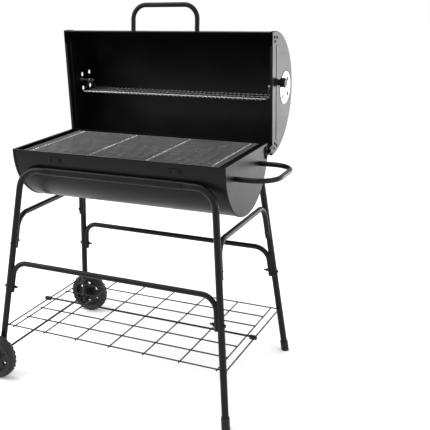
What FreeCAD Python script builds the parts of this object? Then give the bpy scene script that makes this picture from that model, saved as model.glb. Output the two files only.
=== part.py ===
"""Barrel charcoal grill: a half-barrel fire bowl and hinged lid on a bent-tube stand with two wheels.

The frame is in millimetres with +X to the grill's right, -Y to its front and +Z up. The floor is z = 0.
"""
import FreeCAD, Part
import math
import os
import Sketcher
from FreeCAD import Placement, Rotation, Vector

X_AXIS = Vector(1, 0, 0)
Y_AXIS = Vector(0, 1, 0)
Z_AXIS = Vector(0, 0, 1)

SIZES = [
    ("centre_x", 5.5, "middle of the whole grill, from the bowl's middle"),
    ("centre_y", 25.6, "middle of the whole grill, from the bowl's middle"),
    ("sheet_wall", 1.5, "sheet of the bowl and the lid"),
    ("cap_wall", 1.4, "sheet of the end caps"),
    ("cap_depth", 9.0, "depth of an end cap's turned edge"),
    ("cap_round", 3.0, "bend radius of an end cap's edge"),
    ("cap_gap", 1.7, "from an end cap's outside to the shell's outside"),
    ("fold_width", 10.0, "height of the folded rim"),
    ("fold_depth", 3.0, "thickness of the folded rim"),
    ("bowl_length", 760.0, "bowl over its end caps"),
    ("bowl_radius", 194.0, "bowl's end caps"),
    ("bowl_skirt", 3.0, "straight wall above the bowl's half round"),
    ("rim_height", 791.0, "bowl's rim above the floor"),
    ("lid_length", 782.0, "lid over its end caps"),
    ("lid_radius", 203.0, "lid's end caps"),
    ("lid_skirt", 6.0, "straight wall below the lid's half round"),
    ("hinge_y", 182.0, "lid hinge behind the bowl's middle"),
    ("hinge_z", 765.0, "lid hinge above the floor"),
    ("lid_opening", 86.6, "lid's opening angle"),
    ("hinge_pin_radius", 4.0, "hinge pin"),
    ("running_gap", 0.05, "radial clearance of a running fit"),
    ("plate_wall", 3.0, "hinge plates"),
    ("frame_radius", 11.0, "leg frame tube"),
    ("brace_radius", 9.0, "stretcher and brace tube"),
    ("handle_radius", 8.0, "handle tube"),
    ("tube_wall", 1.5, "wall of every tube"),
    ("foot_x", 426.0, "leg line at the floor"),
    ("foot_y", 296.0, "leg line at the floor"),
    ("bar_y", 193.7, "leg frame's top bar"),
    ("bar_z", 725.0, "leg frame's top bar"),
    ("leg_splay", 72.0, "outward run of a leg over the splay height"),
    ("splay_height", 660.0, "height for the leg splay"),
    ("frame_bend", 72.0, "bend radius of a leg frame"),
    ("flat_half", 242.0, "half length of the bar's flattened stretch"),
    ("flat_height", 24.0, "height of the flattened stretch"),
    ("flat_depth", 15.0, "thickness of the flattened stretch"),
    ("flat_run", 24.0, "length over which the tube turns from flat to round"),
    ("stretcher_z", 405.0, "stretcher's top"),
    ("stretcher_end_z", 300.0, "stretcher's lower ends"),
    ("stretcher_bolt_z", 319.0, "stretcher bolts"),
    ("brace_z", 566.0, "brace's top"),
    ("brace_end_z", 452.0, "brace's lower ends"),
    ("brace_bolt_z", 473.0, "brace bolts"),
    ("nest_offset", 13.0, "from a leg's middle to the tube end that nests on it"),
    ("brace_bend", 52.0, "bend radius of stretchers and braces"),
    ("axle_z", 78.0, "axle above the floor"),
    ("axle_radius", 4.0, "axle"),
    ("wheel_radius", 78.0, "wheel over its tyre"),
    ("wheel_width", 40.0, "wheel"),
    ("tyre_inner", 60.0, "tyre's seat on the rim"),
    ("tyre_crown", 10.0, "rise of the tyre's crown above its shoulders"),
    ("wheel_y", 319.5, "wheel's middle"),
    ("rod_radius", 2.5, "shelf side rods"),
    ("rod_z", 169.0, "shelf side rods"),
    ("shelf_wire", 2.3, "shelf wire radius"),
    ("shelf_half_x", 379.5, "outer cross wires of the shelf"),
    ("shelf_half_y", 257.0, "outer long wires of the shelf"),
    ("shelf_z", 174.0, "shelf's long wires"),
    ("centre_rod_radius", 3.5, "shelf's thick centre rod"),
    ("grate_wire", 1.6, "cooking grate wire radius"),
    ("grate_bar", 2.5, "cooking grate cross bar radius"),
    ("grate_pitch", 15.0, "cooking grate wire spacing"),
    ("grate_half_x", 350.0, "half length of the cooking grate"),
    ("grate_count", 12.0, "cooking grate wires on each side of its middle one"),
    ("grate_bar_outer", 323.0, "outer cross bars of the cooking grate"),
    ("grate_bar_inner", 104.4, "inner cross bars of the cooking grate"),
    ("grate_z", 785.0, "cooking grate wires"),
    ("coal_grate_z", 672.0, "charcoal grate wires"),
    ("coal_half_y", 145.2, "half width of the charcoal grate"),
    ("coal_half_x", 330.0, "half length of the charcoal grate"),
    ("rack_half", 340.0, "half length of the warming rack"),
    ("rack_wire", 1.5, "warming rack cross wire radius"),
    ("rack_rod", 2.5, "warming rack rod radius"),
    ("rack_front", 237.0, "warming rack's front rod, lid open"),
    ("rack_depth", 94.0, "warming rack from rod to rod"),
    ("rack_z", 926.0, "warming rack's rods, lid open"),
    ("rack_pitch", 16.0, "warming rack wire spacing"),
    ("rack_pivot_z", 962.0, "warming rack's pivots, lid open"),
    ("rack_hanger_x", 352.0, "warming rack's end hangers"),
    ("vent_z", 124.0, "vent's middle above the lid's centre line"),
    ("vent_radius", 54.0, "vent disc"),
    ("vent_circle", 36.5, "radius of the circle of vent holes"),
    ("vent_hole", 8.0, "vent hole radius"),
    ("vent_tab", 80.0, "knob from the vent's middle"),
    ("lid_handle_half", 120.0, "half distance between the lid handle's legs"),
    ("lid_handle_reach", 86.0, "lid handle off the lid"),
    ("side_handle_half", 110.0, "half distance between the side handle's legs"),
    ("side_handle_reach", 118.5, "side handle off the bowl"),
    ("side_handle_z", 738.0, "side handle"),
    ("side_handle_bend", 70.0, "bend radius of the side handle"),
    ("handle_bend", 48.0, "bend radius of the lid handle"),
    ("screw_radius", 2.5, "sheet-metal screws and bolts"),
    ("bolt_radius", 3.0, "frame bolts"),
    ("plate_x", 214.0, "grate brackets from the bowl's middle"),
    ("plate_z", 765.0, "grate bracket screws"),
    ("plate_length", 45.0, "grate brackets and their outside plates"),
]

doc = FreeCAD.newDocument("BarrelGrill")
sheet = doc.addObject("Spreadsheet::Sheet", "Sizes")
for row, (alias, value, note) in enumerate(SIZES, start=1):
    sheet.set(f"A{row}", note)
    sheet.set(f"B{row}", str(value))
    sheet.setAlias(f"B{row}", alias)
doc.recompute()

nodes = []


# ---------------------------------------------------------------- helpers

def size(alias):
    """Value of one driving dimension."""
    return float(sheet.get(alias))


def at(x, y, z):
    """Point given from the middle of the bowl, in the part's own frame."""
    return Vector(x - size("centre_x"), y - size("centre_y"), z)


def bind(obj, **expressions):
    """Bind properties of an object to the sheet."""
    for name, expression in expressions.items():
        obj.setExpression(name, expression)
    return obj


def keep(obj, label):
    """Name an object as a finished sub-part."""
    obj.Label = label
    nodes.append(obj)
    return obj


def cylinder(name, radius, length, base, direction=Z_AXIS):
    """Round bar whose radius and length are expressions."""
    obj = doc.addObject("Part::Cylinder", name)
    bind(obj, Radius=radius, Height=length)
    obj.Placement = Placement(base, Rotation(Z_AXIS, direction))
    return obj


def box(name, length, width, height, base, rotation=Rotation()):
    """Block whose sides are expressions, from its low corner."""
    obj = doc.addObject("Part::Box", name)
    bind(obj, Length=length, Width=width, Height=height)
    obj.Placement = Placement(base, rotation)
    return obj


def cut(name, base, tool):
    """Base with the tool taken away."""
    obj = doc.addObject("Part::Cut", name)
    obj.Base = base
    obj.Tool = tool
    return obj


def fuse(name, members):
    """Several solids joined as one."""
    obj = doc.addObject("Part::MultiFuse", name)
    obj.Shapes = members
    return obj


def group(name, members):
    """Separate solids held in one sub-part."""
    obj = doc.addObject("Part::Compound", name)
    obj.Links = members
    return obj


def feature(name, shape):
    """Solid made directly from its shape."""
    obj = doc.addObject("Part::Feature", name)
    obj.Shape = shape
    return obj


def moved(placement, members):
    """Carry objects by one placement."""
    for member in members:
        member.Placement = placement.multiply(member.Placement)
    return members


def new_body(name):
    """Empty PartDesign body."""
    return doc.addObject("PartDesign::Body", name)


def new_sketch(body, name, role, offset=0.0):
    """Sketch on one of the body's own origin planes."""
    sketch = body.newObject("Sketcher::SketchObject", name)
    plane = next(item for item in body.Origin.OriginFeatures if item.Role == role)
    sketch.AttachmentSupport = [(plane, "")]
    sketch.MapMode = "FlatFace"
    sketch.AttachmentOffset = Placement(Vector(0, 0, offset), Rotation())
    return sketch


def draw(sketch, pieces):
    """Closed or open chain of lines and arcs, each joined to the next; arcs keep their centre."""
    for piece in pieces:
        sketch.addGeometry(piece, False)


def line(x1, y1, x2, y2):
    """Straight stroke in a sketch."""
    return Part.LineSegment(Vector(x1, y1, 0), Vector(x2, y2, 0))


def arc(radius, start, end):
    """Arc about the sketch's origin, angles in degrees."""
    circle = Part.Circle(Vector(0, 0, 0), Z_AXIS, radius)
    return Part.ArcOfCircle(circle, math.radians(start), math.radians(end))


def fix_radius(sketch, index, expression):
    """Bind a circle's or an arc's radius to the sheet, with its centre on the sketch's origin."""
    sketch.addConstraint(Sketcher.Constraint("Coincident", index, 3, -1, 1))
    number = sketch.addConstraint(Sketcher.Constraint("Radius", index, sketch.Geometry[index].Radius))
    sketch.setExpression(f"Constraints[{number}]", expression)


def pad(body, name, sketch, length):
    """Solid drawn out of a sketch."""
    obj = body.newObject("PartDesign::Pad", name)
    obj.Profile = sketch
    bind(obj, Length=length)
    body.Tip = obj
    return obj


def pocket(body, name, sketch, length):
    """Hollow cut from a sketch against its normal, checked to have cut."""
    doc.recompute()
    before = body.Shape.Volume
    obj = body.newObject("PartDesign::Pocket", name)
    obj.Profile = sketch
    bind(obj, Length=length)
    body.Tip = obj
    doc.recompute()
    if body.Shape.Volume >= before:
        raise RuntimeError(f"{name} cuts nothing")
    return obj


def leg_x(z):
    """Leg's centre line from the middle, at a height."""
    return size("foot_x") - size("leg_splay") * z / size("splay_height")


def leg_y(z):
    """Leg's centre line from the middle, at a height."""
    return size("foot_y") - (size("foot_y") - size("bar_y")) * z / size("bar_z")


def frame_placement(z, side):
    """Plane of the front (-1) or rear (+1) leg frame, with its origin on the middle at a height."""
    lean = Vector(0, -side * (size("foot_y") - size("bar_y")), size("bar_z"))
    return Placement(at(0, side * leg_y(z), z), Rotation(X_AXIS, Vector(), lean, "XZY"))


def frame_normal(side):
    """Direction square to the front (-1) or rear (+1) leg frame's plane, pointing into the grill."""
    return Vector(0, -side * size("bar_z"), size("bar_y") - size("foot_y")).normalize()


def bar_crossing(end, side):
    """Where a bolt crosses the middle of a leg frame's flattened bar."""
    return at(end * (size("flat_half") - 6), side * size("bar_y"), size("bar_z"))


def side_placement(z, side):
    """Plane of the left (-1) or right (+1) pair of legs, with its origin on the middle at a height."""
    lean = Vector(-side * size("leg_splay"), 0, size("splay_height"))
    return Placement(at(side * leg_x(z), 0, z), Rotation(Y_AXIS, Vector(), lean, "XZY"))


def lid_open():
    """Turn of the lid from closed to its stop, about the hinge pins."""
    hinge = at(0, size("hinge_y"), size("hinge_z"))
    return Placement(Vector(), Rotation(X_AXIS, -size("lid_opening")), hinge)


def u_path(half_span, drop, spread, bend):
    """Half of a U-shaped centre line in a sketch: bar, bend and leg, as a line, an arc and a line."""
    leg = Vector(spread, -drop, 0)
    turn = leg.getAngle(X_AXIS)
    back = bend * math.tan(turn / 2)
    leg.normalize()
    corner = Vector(half_span, 0, 0)
    start = corner - X_AXIS * back
    finish = corner + leg * back
    middle = start + Vector(0, -bend, 0) + Vector(math.sin(turn / 2), math.cos(turn / 2), 0) * bend
    end = Vector(half_span + spread, -drop, 0)
    return start, middle, finish, end


def u_tube(name, half_span, drop, spread, bend, radius):
    """Bent tube: a level bar along X with a leg hanging from each end, made as a pipe and its mirror."""
    body = new_body(name)
    start, middle, finish, end = u_path(half_span, drop, spread, bend)
    path = new_sketch(body, name + "_path", "XZ_Plane")
    bar_line = Part.LineSegment(Vector(), start)
    corner_arc = Part.Arc(start, middle, finish)
    leg_line = Part.LineSegment(finish, end)
    draw(path, [bar_line, corner_arc, leg_line])
    path.addConstraint(Sketcher.Constraint("Coincident", 0, 1, -1, 1))
    path.addConstraint(Sketcher.Constraint("Horizontal", 0))
    path.addConstraint(Sketcher.Constraint("Coincident", 0, 2, 1, 2))
    path.addConstraint(Sketcher.Constraint("Coincident", 1, 1, 2, 1))
    section = new_sketch(body, name + "_section", "YZ_Plane")
    draw(section, [Part.Circle(Vector(), Z_AXIS, size(radius))])
    draw(section, [Part.Circle(Vector(), Z_AXIS, size(radius) - size("tube_wall"))])
    fix_radius(section, 0, f"Sizes.{radius}")
    fix_radius(section, 1, f"Sizes.{radius} - Sizes.tube_wall")
    doc.recompute()
    pipe = body.newObject("PartDesign::AdditivePipe", name + "_pipe")
    pipe.Profile = section
    pipe.Spine = path
    body.Tip = pipe
    doc.recompute()
    mirror = body.newObject("PartDesign::Mirrored", name + "_mirror")
    mirror.Originals = [pipe]
    plane = next(item for item in body.Origin.OriginFeatures if item.Role == "YZ_Plane")
    mirror.MirrorPlane = (plane, [""])
    body.Tip = mirror
    return body


def rounded(name, base, edges):
    """Cylinder with edges rounded: edge 2 is the circle at its base, edge 3 the one at its far end."""
    obj = doc.addObject("Part::Fillet", name)
    obj.Base = base
    obj.Edges = [(number, radius, radius) for number, radius in edges]
    return obj


def hex_prism(name, radius, thickness, base, direction):
    """Hexagonal nut or bolt head, by its corner radius."""
    obj = doc.addObject("Part::Prism", name)
    obj.Polygon = 6
    bind(obj, Circumradius=radius, Height=thickness)
    obj.Placement = Placement(base, Rotation(Z_AXIS, direction))
    return obj


def bolt(name, radius, length, base, direction):
    """Bolt with a domed head that ends at the base and a shank along the direction."""
    head = cylinder(name + "_head", f"Sizes.{radius} * 1.9", f"Sizes.{radius} * 0.9", base, direction * -1)
    domed = rounded(name + "_dome", head, [(3, 0.55 * size(radius))])
    shank = cylinder(name + "_shank", f"Sizes.{radius}", length, base, direction)
    return fuse(name, [domed, shank])


def ring_nut(name, bore, base, direction):
    """Hexagonal nut whose corners and thickness follow its bore's radius."""
    outside = hex_prism(name + "_hex", f"{bore} * 1.9", f"{bore} * 1.6", base, direction)
    hole = cylinder(name + "_bore", bore, f"{bore} * 1.6", base, direction)
    return cut(name, outside, hole)


# ---------------------------------------------------------------- shells and end caps

def trough(name, radius, skirt, length):
    """Half-round sheet along +X, open at the top, with a folded rim on both long edges."""
    outer = size(radius) - size("cap_gap")
    inner = outer - size("sheet_wall")
    fold = outer - size("fold_depth")
    rim = size(skirt)
    fold_end = rim - size("fold_width")
    dip = math.degrees(math.asin(-fold_end / inner))
    meet = inner * math.cos(math.radians(dip))
    body = new_body(name)
    sketch = new_sketch(body, name + "_section", "YZ_Plane")
    draw(sketch, [
        arc(outer, 180, 360),
        line(outer, 0, outer, rim),
        line(outer, rim, fold, rim),
        line(fold, rim, fold, fold_end),
        line(fold, fold_end, meet, fold_end),
        arc(inner, 180 + dip, 360 - dip),
        line(-meet, fold_end, -fold, fold_end),
        line(-fold, fold_end, -fold, rim),
        line(-fold, rim, -outer, rim),
        line(-outer, rim, -outer, 0),
    ])
    fix_radius(sketch, 0, f"Sizes.{radius} - Sizes.cap_gap")
    fix_radius(sketch, 5, f"Sizes.{radius} - Sizes.cap_gap - Sizes.sheet_wall")
    pad(body, name + "_sheet", sketch, f"Sizes.{length} - 2 * Sizes.cap_wall - 0.4")
    return body


def end_cap(name, radius, skirt, lip_half):
    """Pressed half-round cap: its outer face is at x = 0, its turned edge runs along +X over the shell."""
    body = new_body(name)
    outside = new_sketch(body, name + "_outline", "YZ_Plane")
    rim = size(skirt)
    full = size(radius)
    draw(outside, [
        arc(full, 180, 360),
        line(full, 0, full, rim),
        line(full, rim, -full, rim),
        line(-full, rim, -full, 0),
    ])
    fix_radius(outside, 0, f"Sizes.{radius}")
    blank = pad(body, name + "_blank", outside, "Sizes.cap_depth")
    doc.recompute()
    soft_edge = body.newObject("PartDesign::Fillet", name + "_edge")
    edges = []
    for number, edge in enumerate(blank.Shape.Edges, start=1):
        box_of_edge = edge.BoundBox
        if box_of_edge.XMax < 0.01 and box_of_edge.ZMin < rim - 0.01:
            edges.append(f"Edge{number}")
    soft_edge.Base = (blank, edges)
    bind(soft_edge, Radius="Sizes.cap_round")
    body.Tip = soft_edge
    inside = new_sketch(body, name + "_hollow", "YZ_Plane", size("cap_depth"))
    clear = full - size("cap_wall")
    draw(inside, [
        arc(clear, 180, 360),
        line(clear, 0, clear, rim + 1),
        line(clear, rim + 1, -clear, rim + 1),
        line(-clear, rim + 1, -clear, 0),
    ])
    fix_radius(inside, 0, f"Sizes.{radius} - Sizes.cap_wall")
    pocket(body, name + "_pressing", inside, "Sizes.cap_depth - Sizes.cap_wall")
    lip = new_sketch(body, name + "_lip_line", "YZ_Plane")
    low = rim - size("cap_wall")
    draw(lip, [
        line(-lip_half, low, lip_half, low),
        line(lip_half, low, lip_half, rim),
        line(lip_half, rim, -lip_half, rim),
        line(-lip_half, rim, -lip_half, low),
    ])
    pad(body, name + "_lip", lip, "Sizes.cap_depth")
    return body


half_turn = Rotation(Z_AXIS, 180)
upside_down = Rotation(X_AXIS, 180)
bowl_axis_z = size("rim_height") - size("bowl_skirt")
lid_axis_z = size("rim_height")
bowl_half = size("bowl_length") / 2
lid_half = size("lid_length") / 2
shell_radius = size("bowl_radius") - size("cap_gap")
lid_shell_radius = size("lid_radius") - size("cap_gap")
cap_wall = size("cap_wall")

bowl_sheet = trough("bowl_sheet", "bowl_radius", "bowl_skirt", "bowl_length")
bowl_sheet.Placement = Placement(at(-bowl_half + cap_wall + 0.2, 0, bowl_axis_z), Rotation())

lid_sheet = trough("lid_sheet", "lid_radius", "lid_skirt", "lid_length")
lid_sheet.Placement = Placement(at(-lid_half + cap_wall + 0.2, 0, lid_axis_z), upside_down)

bowl_caps = {}
lid_caps = {}
for side, word in ((-1, "left"), (1, "right")):
    turn = Rotation() if side < 0 else half_turn
    bowl_cap = end_cap("bowl_cap_" + word, "bowl_radius", "bowl_skirt", shell_radius - 8)
    bowl_cap.Placement = Placement(at(side * bowl_half, 0, bowl_axis_z), turn)
    bowl_caps[side] = bowl_cap
    lid_cap = end_cap("lid_cap_" + word, "lid_radius", "lid_skirt", lid_shell_radius - 45)
    lid_cap.Placement = Placement(at(side * lid_half, 0, lid_axis_z), turn.multiply(upside_down))
    lid_caps[side] = lid_cap

# ---------------------------------------------------------------- places of the fasteners

screw_r = size("screw_radius")
bolt_r = size("bolt_radius")
plate_angle = math.asin((bowl_axis_z - size("plate_z")) / shell_radius)


def radial(side, angle):
    """Outward direction of the bowl's wall at the front (-1) or rear (+1), dipping by an angle."""
    return Vector(0, side * math.cos(angle), -math.sin(angle))


def on_bowl(x, side, angle, reach):
    """Point at a distance from the bowl's centre line."""
    direction = radial(side, angle)
    return at(x, direction.y * reach, bowl_axis_z + direction.z * reach)


bowl_holes = []
bracket_screws = []
bracket_nuts = []
frame_bolts = []
frame_nuts = []
for side, word in ((-1, "front"), (1, "rear")):
    inward = radial(side, plate_angle) * -1
    for end in (-1, 1):
        for step in (-14, 14):
            x = end * size("plate_x") + step
            tag = f"{word}_{len(bracket_screws)}"
            head = on_bowl(x, side, plate_angle, shell_radius + 2.3)
            bracket_screws.append(bolt("bracket_screw_" + tag, "screw_radius", "14", head, inward))
            nut_base = on_bowl(x, side, plate_angle, shell_radius - 5.7)
            bracket_nuts.append(ring_nut("bracket_nut_" + tag, "Sizes.screw_radius", nut_base, inward))
            hole_base = on_bowl(x, side, plate_angle, shell_radius + 4)
            bowl_holes.append(cylinder("screw_hole_" + tag, "Sizes.screw_radius + 0.2", "12", hole_base, inward))
    inward = frame_normal(side)
    for end in (-1, 1):
        tag = f"{word}_{len(frame_bolts)}"
        crossing = bar_crossing(end, side)
        head = crossing - inward * (size("flat_depth") / 2 + 0.2)
        frame_bolts.append(bolt("frame_bolt_" + tag, "bolt_radius", "34", head, inward))
        frame_nuts.append(ring_nut("frame_nut_" + tag, "Sizes.bolt_radius", crossing + inward * 17.9, inward))
        bowl_holes.append(cylinder("bar_hole_" + tag, "Sizes.bolt_radius + 0.2", "16",
                                   crossing + inward * 5, inward))

keep(cut("bowl_shell_drilled", bowl_sheet, group("bowl_holes", bowl_holes)), "bowl_shell")
keep(group("bracket_screw_group", bracket_screws), "grate_bracket_screws")
keep(group("bracket_nut_group", bracket_nuts), "grate_bracket_nuts")
keep(group("frame_bolt_group", frame_bolts), "bowl_frame_bolts")
keep(group("frame_nut_group", frame_nuts), "bowl_frame_nuts")

# ---------------------------------------------------------------- grate brackets

brackets = []
plates = []
plate_half = size("plate_length") / 2
bracket_top = size("grate_z") - size("grate_wire") - 0.2
for side, word in ((-1, "front"), (1, "rear")):
    for end in (-1, 1):
        tag = f"{word}_{end + 1}"
        x = end * size("plate_x")
        low_y = -188.0 if side < 0 else 186.0
        upright = box("bracket_upright_" + tag, "Sizes.plate_length", "2", f"{bracket_top} - 757",
                      at(x - plate_half, low_y, 757))
        ledge_y = -188.0 if side < 0 else 160.0
        ledge = box("bracket_ledge_" + tag, "Sizes.plate_length", "28", "2",
                    at(x - plate_half, ledge_y, bracket_top - 2))
        drills = []
        for step in (-14, 14):
            base = on_bowl(x + step, side, plate_angle, shell_radius + 4)
            drills.append(cylinder(f"bracket_drill_{tag}_{step + 14}", "Sizes.screw_radius + 0.2", "16",
                                   base, radial(side, plate_angle) * -1))
        joined = fuse("bracket_joined_" + tag, [upright, ledge])
        brackets.append(cut("bracket_" + tag, joined, group("bracket_drills_" + tag, drills)))
        outward = radial(side, plate_angle)
        up = Vector(0, -outward.z * side, outward.y * side)
        turn = Rotation(X_AXIS, Vector(), up, "XZY")
        corner = on_bowl(x - plate_half, side, plate_angle, shell_radius + 0.3 + (2 if side < 0 else 0))
        corner = corner - up * 9
        flat = box("outside_flat_" + tag, "Sizes.plate_length", "2", "18", corner, turn)
        plates.append(cut("outside_plate_" + tag, flat, group("plate_drills_" + tag, [
            cylinder(f"plate_drill_{tag}_{step + 14}", "Sizes.screw_radius + 0.1", "12",
                     on_bowl(x + step, side, plate_angle, shell_radius + 6), outward * -1)
            for step in (-14, 14)])))
keep(group("bracket_group", brackets), "grate_brackets")
keep(group("plate_group", plates), "bracket_outside_plates")

# ---------------------------------------------------------------- hinges

hinge_y = size("hinge_y")
hinge_z = size("hinge_z")
arm_screws = [Vector(0, 168, 811), Vector(0, 183, 804)]
bracket_fix = [Vector(0, 163, 774), Vector(0, 167, 750)]
bracket_x = bowl_half + 0.2
arm_x = lid_half - cap_wall - 0.2 - size("plate_wall")
hinge_parts = {"bracket_screws": [], "arm_screws": [], "cap_screws": []}


def rounded_plate(name, centres, radius, x_low):
    """Flat plate of hinge thickness that wraps round several circles, in the YZ plane."""
    discs = [cylinder(f"{name}_disc_{number}", radius, "Sizes.plate_wall", at(x_low, point.y, point.z), X_AXIS)
             for number, point in enumerate(centres)]
    webs = []
    half = float(radius)
    for number, first in enumerate(centres):
        second = centres[(number + 1) % len(centres)]
        along = second - first
        across = X_AXIS.cross(along).normalize()
        start = first - across * half
        turn = Rotation(X_AXIS, along, Vector(), "XYZ")
        webs.append(box(f"{name}_web_{number}", "Sizes.plate_wall", str(along.Length), str(2 * half),
                        at(x_low, start.y, start.z), turn))
    return fuse(name + "_joined", discs + webs)


for side, word in ((-1, "left"), (1, "right")):
    pin_point = Vector(0, hinge_y, hinge_z)
    low = bracket_x if side > 0 else -bracket_x - size("plate_wall")
    base = rounded_plate("bracket_plate_" + word, [pin_point] + bracket_fix, "9", low)
    knuckle = cylinder("bracket_eye_" + word, "15", "Sizes.plate_wall", at(low, hinge_y, hinge_z), X_AXIS)
    lug_x = bracket_x if side > 0 else -bracket_x - 8.5
    lug = cylinder("bracket_stop_" + word, "3", "8.5", at(lug_x, hinge_y + 18.5, hinge_z - 11.6), X_AXIS)
    foot = cylinder("bracket_lug_foot_" + word, "5", "Sizes.plate_wall",
                    at(low, hinge_y + 14.5, hinge_z - 11.0), X_AXIS)
    solid = fuse("bracket_solid_" + word, [base, knuckle, foot, lug])
    drills = [cylinder("bracket_pin_hole_" + word, "Sizes.hinge_pin_radius", "20",
                       at(low - 5, hinge_y, hinge_z), X_AXIS)]
    for number, point in enumerate(bracket_fix):
        drills.append(cylinder(f"bracket_fix_hole_{word}_{number}", "Sizes.screw_radius + 0.1", "20",
                               at(low - 5, point.y, point.z), X_AXIS))
        outward = X_AXIS * side
        head_x = side * (bracket_x + size("plate_wall") + 0.1)
        hinge_parts["bracket_screws"].append(bolt(f"bracket_fix_{word}_{number}", "screw_radius", "10",
                                                  at(head_x, point.y, point.z), outward * -1))
    keep(cut("hinge_bracket_cut_" + word, solid, group("bracket_drill_group_" + word, drills)),
         "hinge_bracket_" + word)

    low = arm_x if side > 0 else -arm_x - size("plate_wall")
    arm = rounded_plate("arm_plate_" + word, [pin_point] + arm_screws, "9", low)
    drills = [cylinder("arm_pin_hole_" + word, "Sizes.hinge_pin_radius + Sizes.running_gap", "20",
                       at(low - 5, hinge_y, hinge_z), X_AXIS)]
    cap_drills = []
    cap_points = arm_screws + [Vector(0, 179, 829), Vector(0, -179, 829), Vector(0, -168, 811), Vector(0, -183, 804)]
    for number, point in enumerate(cap_points):
        through = cylinder(f"cap_hole_{word}_{number}", "Sizes.screw_radius + 0.1", "30",
                           at(side * lid_half - 15, point.y, point.z), X_AXIS)
        head = at(side * (lid_half + 0.1), point.y, point.z)
        screw = bolt(f"lid_cap_screw_{word}_{number}", "screw_radius", "9", head, X_AXIS * -side)
        cap_drills.append(through)
        if number < len(arm_screws):
            drills.append(cylinder(f"arm_hole_{word}_{number}", "Sizes.screw_radius + 0.1", "30",
                                   at(side * lid_half - 15, point.y, point.z), X_AXIS))
            hinge_parts["arm_screws"].append(screw)
        else:
            hinge_parts["cap_screws"].append(screw)
    arm_cut = cut("hinge_arm_cut_" + word, arm, group("arm_drill_group_" + word, drills))
    moved(lid_open(), [arm_cut])
    keep(arm_cut, "hinge_arm_" + word)
    hinge_parts["cap_drills_" + word] = cap_drills

    pin_x = bracket_x if side > 0 else -bracket_x
    shank = cylinder("hinge_shank_" + word, "Sizes.hinge_pin_radius", "14.5",
                     at(pin_x, hinge_y, hinge_z), X_AXIS * side)
    head = hex_prism("hinge_head_" + word, "7.5", "5",
                     at(side * (arm_x + size("plate_wall") + 0.4), hinge_y, hinge_z), X_AXIS * side)
    washer_length = arm_x - bracket_x - size("plate_wall") - 0.3
    washer = cylinder("hinge_washer_" + word, "7", str(washer_length),
                      at(side * (bracket_x + size("plate_wall")), hinge_y, hinge_z), X_AXIS * side)
    keep(fuse("hinge_pin_solid_" + word, [shank, head, washer]), "hinge_pin_" + word)

keep(group("hinge_bracket_screw_group", hinge_parts["bracket_screws"]), "hinge_bracket_screws")
arm_screw_group = group("arm_screw_group", hinge_parts["arm_screws"])
cap_screw_group = group("cap_screw_group", hinge_parts["cap_screws"])
moved(lid_open(), [arm_screw_group, cap_screw_group])
keep(arm_screw_group, "hinge_arm_screws")
keep(cap_screw_group, "lid_cap_screws")

# ---------------------------------------------------------------- end caps, drilled

handle_drills = [cylinder(f"side_handle_hole_{side + 1}", "Sizes.bolt_radius + 0.1", "30",
                          at(bowl_half - 15, side * size("side_handle_half"), size("side_handle_z")), X_AXIS)
                 for side in (-1, 1)]
for side, word in ((-1, "left"), (1, "right")):
    drills = [cylinder(f"hinge_fix_hole_{word}_{number}", "Sizes.screw_radius + 0.1", "30",
                       at(side * bowl_half - 15, point.y, point.z), X_AXIS)
              for number, point in enumerate(bracket_fix)]
    if side > 0:
        drills += handle_drills
    keep(cut("bowl_end_cut_" + word, bowl_caps[side], group("bowl_end_drills_" + word, drills)),
         "bowl_end_" + word)

vent_z = lid_axis_z + size("vent_z")


def vent_holes(name, x_low, length, radius="Sizes.vent_hole"):
    """Four holes on a circle about the vent's middle, for a cap or a disc, lid closed."""
    holes = []
    for number in range(4):
        angle = math.radians(45 + 90 * number)
        y = size("vent_circle") * math.cos(angle)
        z = vent_z + size("vent_circle") * math.sin(angle)
        holes.append(cylinder(f"{name}_{number}", radius, length, at(x_low, y, z), X_AXIS))
    holes.append(cylinder(f"{name}_middle", "Sizes.bolt_radius + Sizes.running_gap", length,
                          at(x_low, 0, vent_z), X_AXIS))
    return holes


for side, word in ((-1, "left"), (1, "right")):
    bead = cylinder("lid_bead_" + word, "3", "316", at(side * (lid_half - 1.6), -158, 822), Y_AXIS)
    beaded = fuse("lid_beaded_" + word, [lid_caps[side], bead])
    drills = vent_holes("cap_vent_" + word, side * lid_half - 15, "30") + hinge_parts["cap_drills_" + word]
    lid_end = cut("lid_end_cut_" + word, beaded, group("lid_end_drills_" + word, drills))
    moved(lid_open(), [lid_end])
    keep(lid_end, "lid_end_" + word)

# ---------------------------------------------------------------- lid shell and handle

handle_angle = math.radians(6)
handle_out = Vector(0, -math.cos(handle_angle), math.sin(handle_angle))


def on_lid(x, reach):
    """Point on the lid handle's line, at a distance from the lid's centre line, lid closed."""
    return at(x, handle_out.y * reach, lid_axis_z + handle_out.z * reach)


lid_drills = []
lid_handle_screws = []
for end in (-1, 1):
    x = end * size("lid_handle_half")
    lid_drills.append(cylinder(f"lid_handle_hole_{end + 1}", "Sizes.screw_radius + 0.1", "12",
                               on_lid(x, lid_shell_radius - 8), handle_out))
    lid_handle_screws.append(bolt(f"lid_handle_screw_{end + 1}", "screw_radius", "14",
                                  on_lid(x, lid_shell_radius - size("sheet_wall") - 0.2), handle_out))
lid_skin = cut("lid_shell_cut", lid_sheet, group("lid_drill_group", lid_drills))
screw_group = group("lid_handle_screw_group", lid_handle_screws)
lid_grip = u_tube("lid_grip", size("lid_handle_half"), size("lid_handle_reach") - 0.4, 0.0,
                  size("handle_bend"), "handle_radius")
grip_place = Placement(on_lid(0, lid_shell_radius + size("lid_handle_reach")),
                       Rotation(X_AXIS, Vector(), handle_out, "XZY"))
lid_grip.Placement = grip_place
moved(lid_open(), [lid_skin, screw_group, lid_grip])
keep(lid_skin, "lid_shell")
keep(screw_group, "lid_handle_screws")
keep(lid_grip, "lid_handle")

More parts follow.
